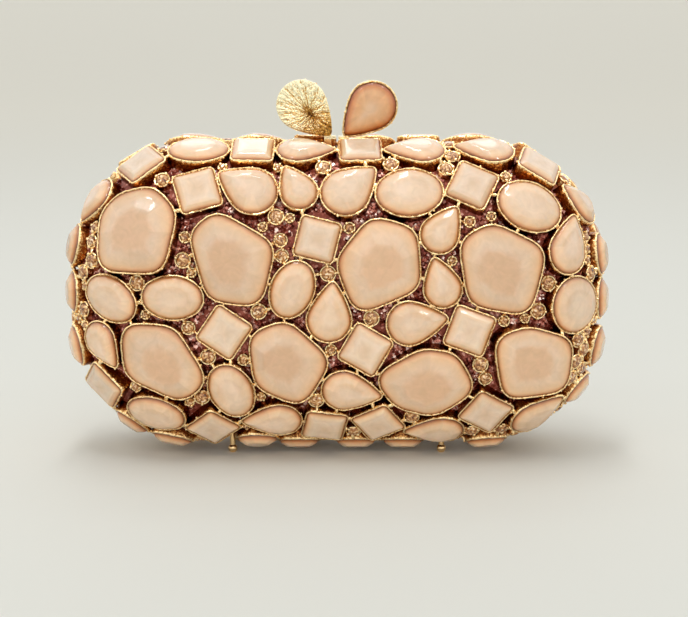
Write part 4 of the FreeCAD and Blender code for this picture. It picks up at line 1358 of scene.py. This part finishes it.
@dataclass
class SolderWork:
    """Blobs of solder that tie each cup to its neighbours."""

    widest: float = 1.7 * MM
    level: float = -0.5 * MM
    rim: float = 0.6 * MM
    steps: int = 40
    furthest: float = 40.0 * MM
    thick: Pair = (0.5 * MM, 0.8 * MM)
    overlap: float = 0.6 * MM
    # Painted shade of the blobs, a little darker than the rim
    painted_shade: float = 0.08
    seed: int = 31

    def build(self, finishes: Finishes, seats: list[Gem]) -> None:
        """Find where neighbouring rims come closest, and put a stretched bead across each gap.

        Args:
            finishes: The materials.
            seats: The stones whose cups are tied.
        """
        rng = np.random.default_rng(self.seed)
        rims = []
        for gem in seats:
            line = even_steps(gem.outline, self.steps)
            line = line + side_of(line) * self.rim
            rims.append(gem.space(line[:, 0], line[:, 1], np.full(self.steps, self.level)))
        places, frames = [], []
        for index, rim in enumerate(rims):
            for other in range(index + 1, len(rims)):
                if np.linalg.norm(seats[index].centre - seats[other].centre) > self.furthest:
                    continue
                gaps = np.linalg.norm(rim[:, None] - rims[other][None], axis=2)
                a, b = np.unravel_index(np.argmin(gaps), gaps.shape)
                if gaps[a, b] > self.widest:
                    continue
                way = rims[other][b] - rim[a]
                ahead = way / max(np.linalg.norm(way), TINY)
                out = seats[index].axes[2] + seats[other].axes[2]
                out = unit(out - ahead * (out @ ahead))
                thick = rng.uniform(*self.thick)
                places.append((rim[a] + rims[other][b]) / 2)
                frames.append(np.stack([ahead * (gaps[a, b] / 2 + self.overlap), np.cross(out, ahead) * thick,
                                        out * thick]))
        mesh = Mesh()
        mesh.add_many(ball(), np.array(places), np.array(frames), depth=np.full(len(places), self.painted_shade))
        for half in Half:
            mesh.piece(half, "solder_blobs", "half", finishes.gold, "gold_settings")


@dataclass
class KnobWork:
    """The clasp's knobs: a pear stone in its rim on one face, and a bark-like cast on the other."""

    back_level: float = -3.0 * MM
    rim: float = 0.8 * MM
    rim_grow: float = 0.06 * MM
    # How much darker the rim is all over
    rim_darken_by: float = 0.35
    relief: float = 0.45 * MM
    lap: float = 0.05 * MM
    sunk: float = 0.2 * MM
    columns: int = 300
    rows: int = 36
    # The pit: its place on the way to the tip, its size and how far it is torn, as shares
    pit_share: float = 0.2
    inmost_share: float = 0.02
    pit_size: float = 0.15
    pit_tear: float = 0.05
    tear_waves: tuple[int, int] = (2, 7)
    # Numbers of strokes, how they drift, bend and weaken as they get finer, and the grit over them
    strokes: tuple[int, ...] = (11, 19, 29, 43, 61)
    drift: float = 0.55
    bend: float = 0.9
    bend_waves: Pair = (3, 9)
    bend_start: float = 6.0
    weaken: float = 0.35
    grit: float = 0.35
    # Shares of the relief: the swell of the whole back, the strokes and the pit; and the deepest cut
    swell_share: float = 0.45
    stroke_share: float = 0.55
    pit_depth: float = 1.2
    deepest: float = -0.04 * MM
    # Darkening: start, slope and most in the strokes; in the pit; painted shade at the foot, with its power;
    # and inside
    stroke_dark: Triple = (-0.2, -1.1, 0.9)
    pit_dark: float = 0.9
    painted_foot_shade: Pair = (0.8, 1.5)
    inner_dark: float = 0.3
    crisp: float = 50.0
    seed: int = 3

    def bark(self, mesh: Mesh, gem: Gem) -> None:
        """Add the cast back: strokes that run out from a pit, as sums of waves round it.

        Each wave's phase drifts with the distance from the pit, so that the strokes break and fork.
        The pit is torn wider here and there; hollows and the pit are darker, and painted shade darkens the
        back towards the knob's foot.

        Args:
            mesh: The mesh to add to.
            gem: The knob's stone, whose outline the back shares.
        """
        rng = np.random.default_rng(self.seed)
        line = even_steps(gem.outline, self.columns)
        line = line + side_of(line) * (self.rim - self.lap)
        tip = line[np.argmax(np.hypot(line[:, 0], line[:, 1]))]
        pit = tip * self.pit_share
        share = np.linspace(1.0, self.inmost_share, self.rows)[:, None]
        angle = around(self.columns)[None, :]
        relief = np.zeros((self.rows, self.columns))
        for waves in self.strokes:
            drift = np.cumsum(rng.normal(0.0, self.drift, (self.rows, 1)), axis=0)
            start = rng.uniform(0.0, self.bend_start)
            bend = self.bend * np.sin(angle * self.bend_waves[0] + share * self.bend_waves[1] + start)
            relief += np.cos(angle * waves + drift + bend) / waves ** self.weaken
        relief += rng.normal(0.0, self.grit, relief.shape)
        relief = np.sign(relief) * np.sqrt(np.abs(relief) / np.abs(relief).max())
        crown = np.sqrt(np.clip(1.0 - share ** 4, 0.0, 1.0))
        torn = self.pit_size + self.pit_tear * ripple(rng, self.columns, self.tear_waves)
        torn = torn + self.pit_tear * np.cos(2 * angle[0])
        hollow = np.exp(-(share / torn) ** 2)
        rise = self.swell_share * crown + self.stroke_share * relief * crown - self.pit_depth * hollow
        level = self.back_level - self.lap - np.maximum(self.relief * rise, self.deepest)
        ring = pit + share[..., None] * (line - pit)
        inner = self.back_level + self.sunk
        points = np.vstack([gem.space(line[:, 0], line[:, 1], np.full(self.columns, inner)),
                            gem.space(ring[..., 0], ring[..., 1], level).reshape(-1, 3),
                            gem.space(pit[:1], pit[1:], np.full(1, inner)),
                            gem.space(pit[:1], pit[1:], level[-1:, :1].ravel())])
        below = np.clip((ring @ tip) / (tip @ tip), 0.0, 1.0)
        # Darker in the hollows and the pit, with painted shade towards the foot
        start, slope, most = self.stroke_dark
        foot, power = self.painted_foot_shade
        dark = np.clip(start + slope * relief, 0.0, most) * crown + self.pit_dark * hollow
        dark = dark + foot * below ** power
        depth = np.concatenate([np.full(self.columns, self.inner_dark), dark.ravel(),
                                [self.inner_dark, 1.0]])
        mesh.add(points, *capped(self.rows + 1, self.columns, False), depth=depth)

    def build(self, finishes: Finishes, work: StoneWork) -> None:
        """Make each knob's stone, rim and back.

        Args:
            finishes: The materials.
            work: The stone work, which the knob's stone and rim share.
        """
        gem = read_gems("front_clasp_stone")[0]
        rng = np.random.default_rng(self.seed)
        stone, rim, back = Mesh(), Mesh(), Mesh()
        work.stone(stone, gem, Cut.CLASP, rng)
        work.cup(rim, gem, None, rng, self.rim_grow, self.rim_darken_by)
        self.bark(back, gem)
        for half in Half:
            stone.piece(half, "knob_stone", "knob", finishes.deep_resin, "peach_resin", "clasp_stone",
                        work.crisp)
            rim.piece(half, "knob_rim", "knob", finishes.gold, "cast_gold")
            back.piece(half, "knob_bark", "knob", finishes.cast, "cast_gold", sharp=self.crisp)


@dataclass
class LiningWork:
    """Satin trays inside the halves, drawn smooth over the card with small puckers by the mouth."""

    inset: float = 3.4 * MM
    wall: float = 0.55 * MM
    lip: float = 0.25 * MM
    columns: int = 240
    rows: int = 26
    pucker: float = 0.35 * MM
    pucker_waves: tuple[int, int] = (38, 96)
    pucker_terms: int = 9
    pucker_fade: float = 0.35
    crisp: float = 40.0
    # The satin's cut before it was drawn over the card: width, length and area
    flat: Pair = (103.0 * MM, 177.0 * MM)
    cut_area: float = 0.0160
    seed: int = 41

    def mouth(self, dome: Dome) -> tuple[Array, Array]:
        """Run round the mouth's rounded rectangle at equal steps.

        Args:
            dome: The dome whose mouth it is.

        Returns:
            For each step, the corner's centre that it belongs to, which slides along the straight
            sides, and the direction out of it.
        """
        wide, tall = dome.half_width - dome.corner, dome.half_height - dome.corner
        arc = dome.corner * math.pi / 2
        run = np.cumsum([0.0, 2 * tall, arc, 2 * wide, arc, 2 * tall, arc, 2 * wide, arc])
        at = np.linspace(0.0, run[-1], self.columns, endpoint=False)
        across = np.interp(at, run, np.array([1, 1, 1, -1, -1, -1, -1, 1, 1]) * wide)
        up = np.interp(at, run, np.array([-1, 1, 1, 1, 1, -1, -1, -1, -1]) * tall)
        angle = np.interp(at, run, np.array([0, 0, 1, 1, 2, 2, 3, 3, 4]) * math.pi / 2)
        return np.stack([across, up], axis=1), np.stack([np.cos(angle), np.sin(angle)], axis=1)

    def build(self, finishes: Finishes, dome: Dome) -> None:
        """Make each tray: an elliptical edge from the mouth to the flat floor, closed as a thin shell.

        Args:
            finishes: The materials.
            dome: The dome that the trays lie in.
        """
        rng = np.random.default_rng(self.seed)
        angle = np.linspace(0.0, math.pi / 2, self.rows)
        centre, way = self.mouth(dome)
        folds = np.abs(ripple(rng, self.columns, self.pucker_waves, self.pucker_terms)) * self.pucker
        fade = np.exp(-(angle / self.pucker_fade) ** 2)[:, None]
        sides = []
        for inset in (self.inset, self.inset + self.wall):
            drawn = dome.corner - inset - (dome.reach - inset) * (1 - np.cos(angle))[:, None]
            drawn = drawn - fade * folds * (inset > self.inset)
            ring = centre + drawn[..., None] * way
            front = dome.band + self.lip + (dome.depth - self.lip - inset) * np.sin(angle)
            sides.append(np.stack([ring[..., 0], np.broadcast_to(-front[:, None], ring.shape[:2]),
                                   ring[..., 1] + dome.middle], axis=-1))
        outer, inner = sides
        floors = np.stack([outer[-1].mean(axis=0), inner[-1].mean(axis=0)])
        points = np.concatenate([outer[::-1], inner]).reshape(-1, 3)
        mesh = Mesh()
        mesh.add(np.vstack([points, floors]), *capped(2 * self.rows, self.columns))
        for half in Half:
            made = mesh.piece(half, "satin_tray", "half", finishes.satin, "satin_lining", "lining",
                              self.crisp)
            made.data.flip_normals()
            half.name_of("shell")


@dataclass
class Hardware:
    """Rigid nodes of the frame that keep their own shape and get a finish."""

    shared: tuple[str, ...] = ("hinge_pin", "chain_lugs")
    polished: tuple[str, ...] = ("frame", "hinge_leaf", "feet", "clasp_bracket", "clasp_rivet")

    def build(self, finishes: Finishes) -> None:
        """Give each node its material.

        Args:
            finishes: The materials.
        """
        chosen = {node: finishes.polished for node in self.shared}
        for half in Half:
            chosen[half.name_of("shell")] = finishes.coat
            chosen[half.name_of("clasp_knob")] = finishes.cast
            chosen[half.name_of("clasp_spring")] = finishes.steel
            for word in self.polished:
                chosen[half.name_of(word)] = finishes.polished
        for node, finish in chosen.items():
            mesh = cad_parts[node].data
            mesh.materials.clear()
            mesh.materials.append(finish)
            LOG.info("%s takes %s", node, finish.name)


@dataclass(frozen=True)
class Lamp:
    """A soft box: where it stands, what it looks at, its sides in metres and its power in watts."""

    name: str
    place: Triple
    target: Triple
    sides: Pair
    power: float

    def build(self) -> None:
        """Make the lamp and turn it to its target."""
        lamp = bpy.data.lights.new(self.name, "AREA")
        lamp.shape = "RECTANGLE"
        lamp.size, lamp.size_y = self.sides
        lamp.energy = self.power
        made = bpy.data.objects.new(self.name, lamp)
        made.location = self.place
        way = np.array(self.target) - np.array(self.place)
        level = math.hypot(way[0], way[1])
        made.rotation_euler = (math.atan2(level, -way[2]), 0.0, math.atan2(-way[0], way[1]))
        bpy.context.scene.collection.objects.link(made)


@dataclass
class Studio:
    """The floor, the light and the camera."""

    eye_distance: float = 0.65
    eye_lift: float = math.radians(9.0)
    aim: Triple = (0.0, 0.0, 0.052)
    focal_pixels: float = 1989.0
    image: tuple[int, int] = (688, 617)
    aim_pixel: Pair = (337.0, 290.0)
    sensor: float = 36.0
    floor_side: float = 60.0
    room: str = "#F4F3EF"
    # Strength of the room at the horizon and overhead, as light and as it is seen
    sky: Pair = (0.28, 0.66)
    shine: Pair = (1.05, 2.0)
    # Strength and tightness of the room's glow from the front and from behind
    front_glow: Pair = (4.3, 8.0)
    back_glow: Pair = (1.2, 4.0)
    lamps: tuple[Lamp, ...] = (
        Lamp("overhead_box", (-0.08, 0.01, 1.05), (0.0, 0.0, 0.05), (0.80, 0.08), 2.8),
        Lamp("back_panel", (-0.04, 0.62, 0.98), (0.0, 0.0, 0.09), (0.50, 0.14), 0.5),
        Lamp("ceiling_panel", (0.0, -0.42, 1.0), (0.0, 0.0, 0.06), (0.09, 0.05), 0.25),
        Lamp("window_panel", (-0.48, -0.61, 0.84), (0.0, 0.0, 0.06), (0.08, 0.05), 0.25),
        Lamp("side_panel", (0.47, -0.58, 0.86), (0.0, 0.0, 0.06), (0.07, 0.05), 0.2),
    )

    def camera(self) -> None:
        """Stand the camera where the photograph was taken from, with its small shift."""
        lens = bpy.data.cameras.new("photo_camera")
        lens.sensor_width = self.sensor
        lens.lens = self.focal_pixels / self.image[0] * self.sensor
        lens.shift_x = (self.image[0] / 2 - self.aim_pixel[0]) / self.image[0]
        lens.shift_y = (self.aim_pixel[1] - self.image[1] / 2) / self.image[0]
        made = bpy.data.objects.new("photo_camera", lens)
        back = self.eye_distance * math.cos(self.eye_lift)
        up = self.eye_distance * math.sin(self.eye_lift)
        made.location = (self.aim[0], self.aim[1] - back, self.aim[2] + up)
        made.rotation_euler = (math.pi / 2 - self.eye_lift, 0.0, 0.0)
        bpy.context.scene.collection.objects.link(made)
        bpy.context.scene.camera = made

    def floor(self, finishes: Finishes) -> None:
        """Lay a pale sheet under the feet.

        Args:
            finishes: The materials.
        """
        side = self.floor_side / 2
        mesh = bpy.data.meshes.new("sweep_floor")
        mesh.from_pydata([(-side, -side, 0.0), (side, -side, 0.0), (side, side, 0.0), (-side, side, 0.0)],
                         [], [(0, 1, 2, 3)])
        mesh.materials.append(finishes.paper)
        made = bpy.data.objects.new("sweep_floor", mesh)
        bpy.context.scene.collection.objects.link(made)

    def world(self) -> None:
        """A plain pale room, lighter overhead, that glows softly from the front and from behind."""
        made = bpy.data.worlds.new("pale_room")
        made.use_nodes = True
        wire = Wiring(made.node_tree)
        way = add_node(wire.tree, "SeparateXYZ", {"Vector": wire.add("TexCoord", "Generated")}).outputs
        light, shine = (wire.span(way["Z"], *ends) for ends in (self.sky, self.shine))
        for side, (glow, tightness) in ((-1.0, self.front_glow), (1.0, self.back_glow)):
            facing = wire.add("Math", "Value", {0: way["Y"], 1: side}, operation="MULTIPLY", use_clamp=True)
            light = wire.math("MULTIPLY_ADD", wire.math("POWER", facing, tightness), glow, light)
        feed(wire.tree, wire.tree.nodes["Background"], {
            "Color": linear(self.room), "Strength": wire.span(wire.seen_rays(), light, shine)})
        bpy.context.scene.world = made

    def build(self, finishes: Finishes) -> None:
        """Set up everything that isn't the clutch.

        Args:
            finishes: The materials.
        """
        bpy.context.scene.view_settings.view_transform = "Standard"
        self.camera()
        self.floor(finishes)
        self.world()
        for lamp in self.lamps:
            lamp.build()


def main() -> None:
    """Build the studio, then the clutch from the shell outwards."""
    logging.basicConfig(level=logging.INFO, format="%(name)s: %(message)s")
    finishes = Finishes()
    dome = Dome()
    Studio().build(finishes)
    Hardware().build(finishes)
    work = StoneWork()
    seats = work.build(finishes, dome)
    seats += RhinestoneWork().build(finishes, dome, seats)
    GlitterWork().build(finishes, dome, seats)
    SolderWork().build(finishes, seats)
    KnobWork().build(finishes, work)
    LiningWork().build(finishes, dome)


if __name__ == "__main__":
    main()
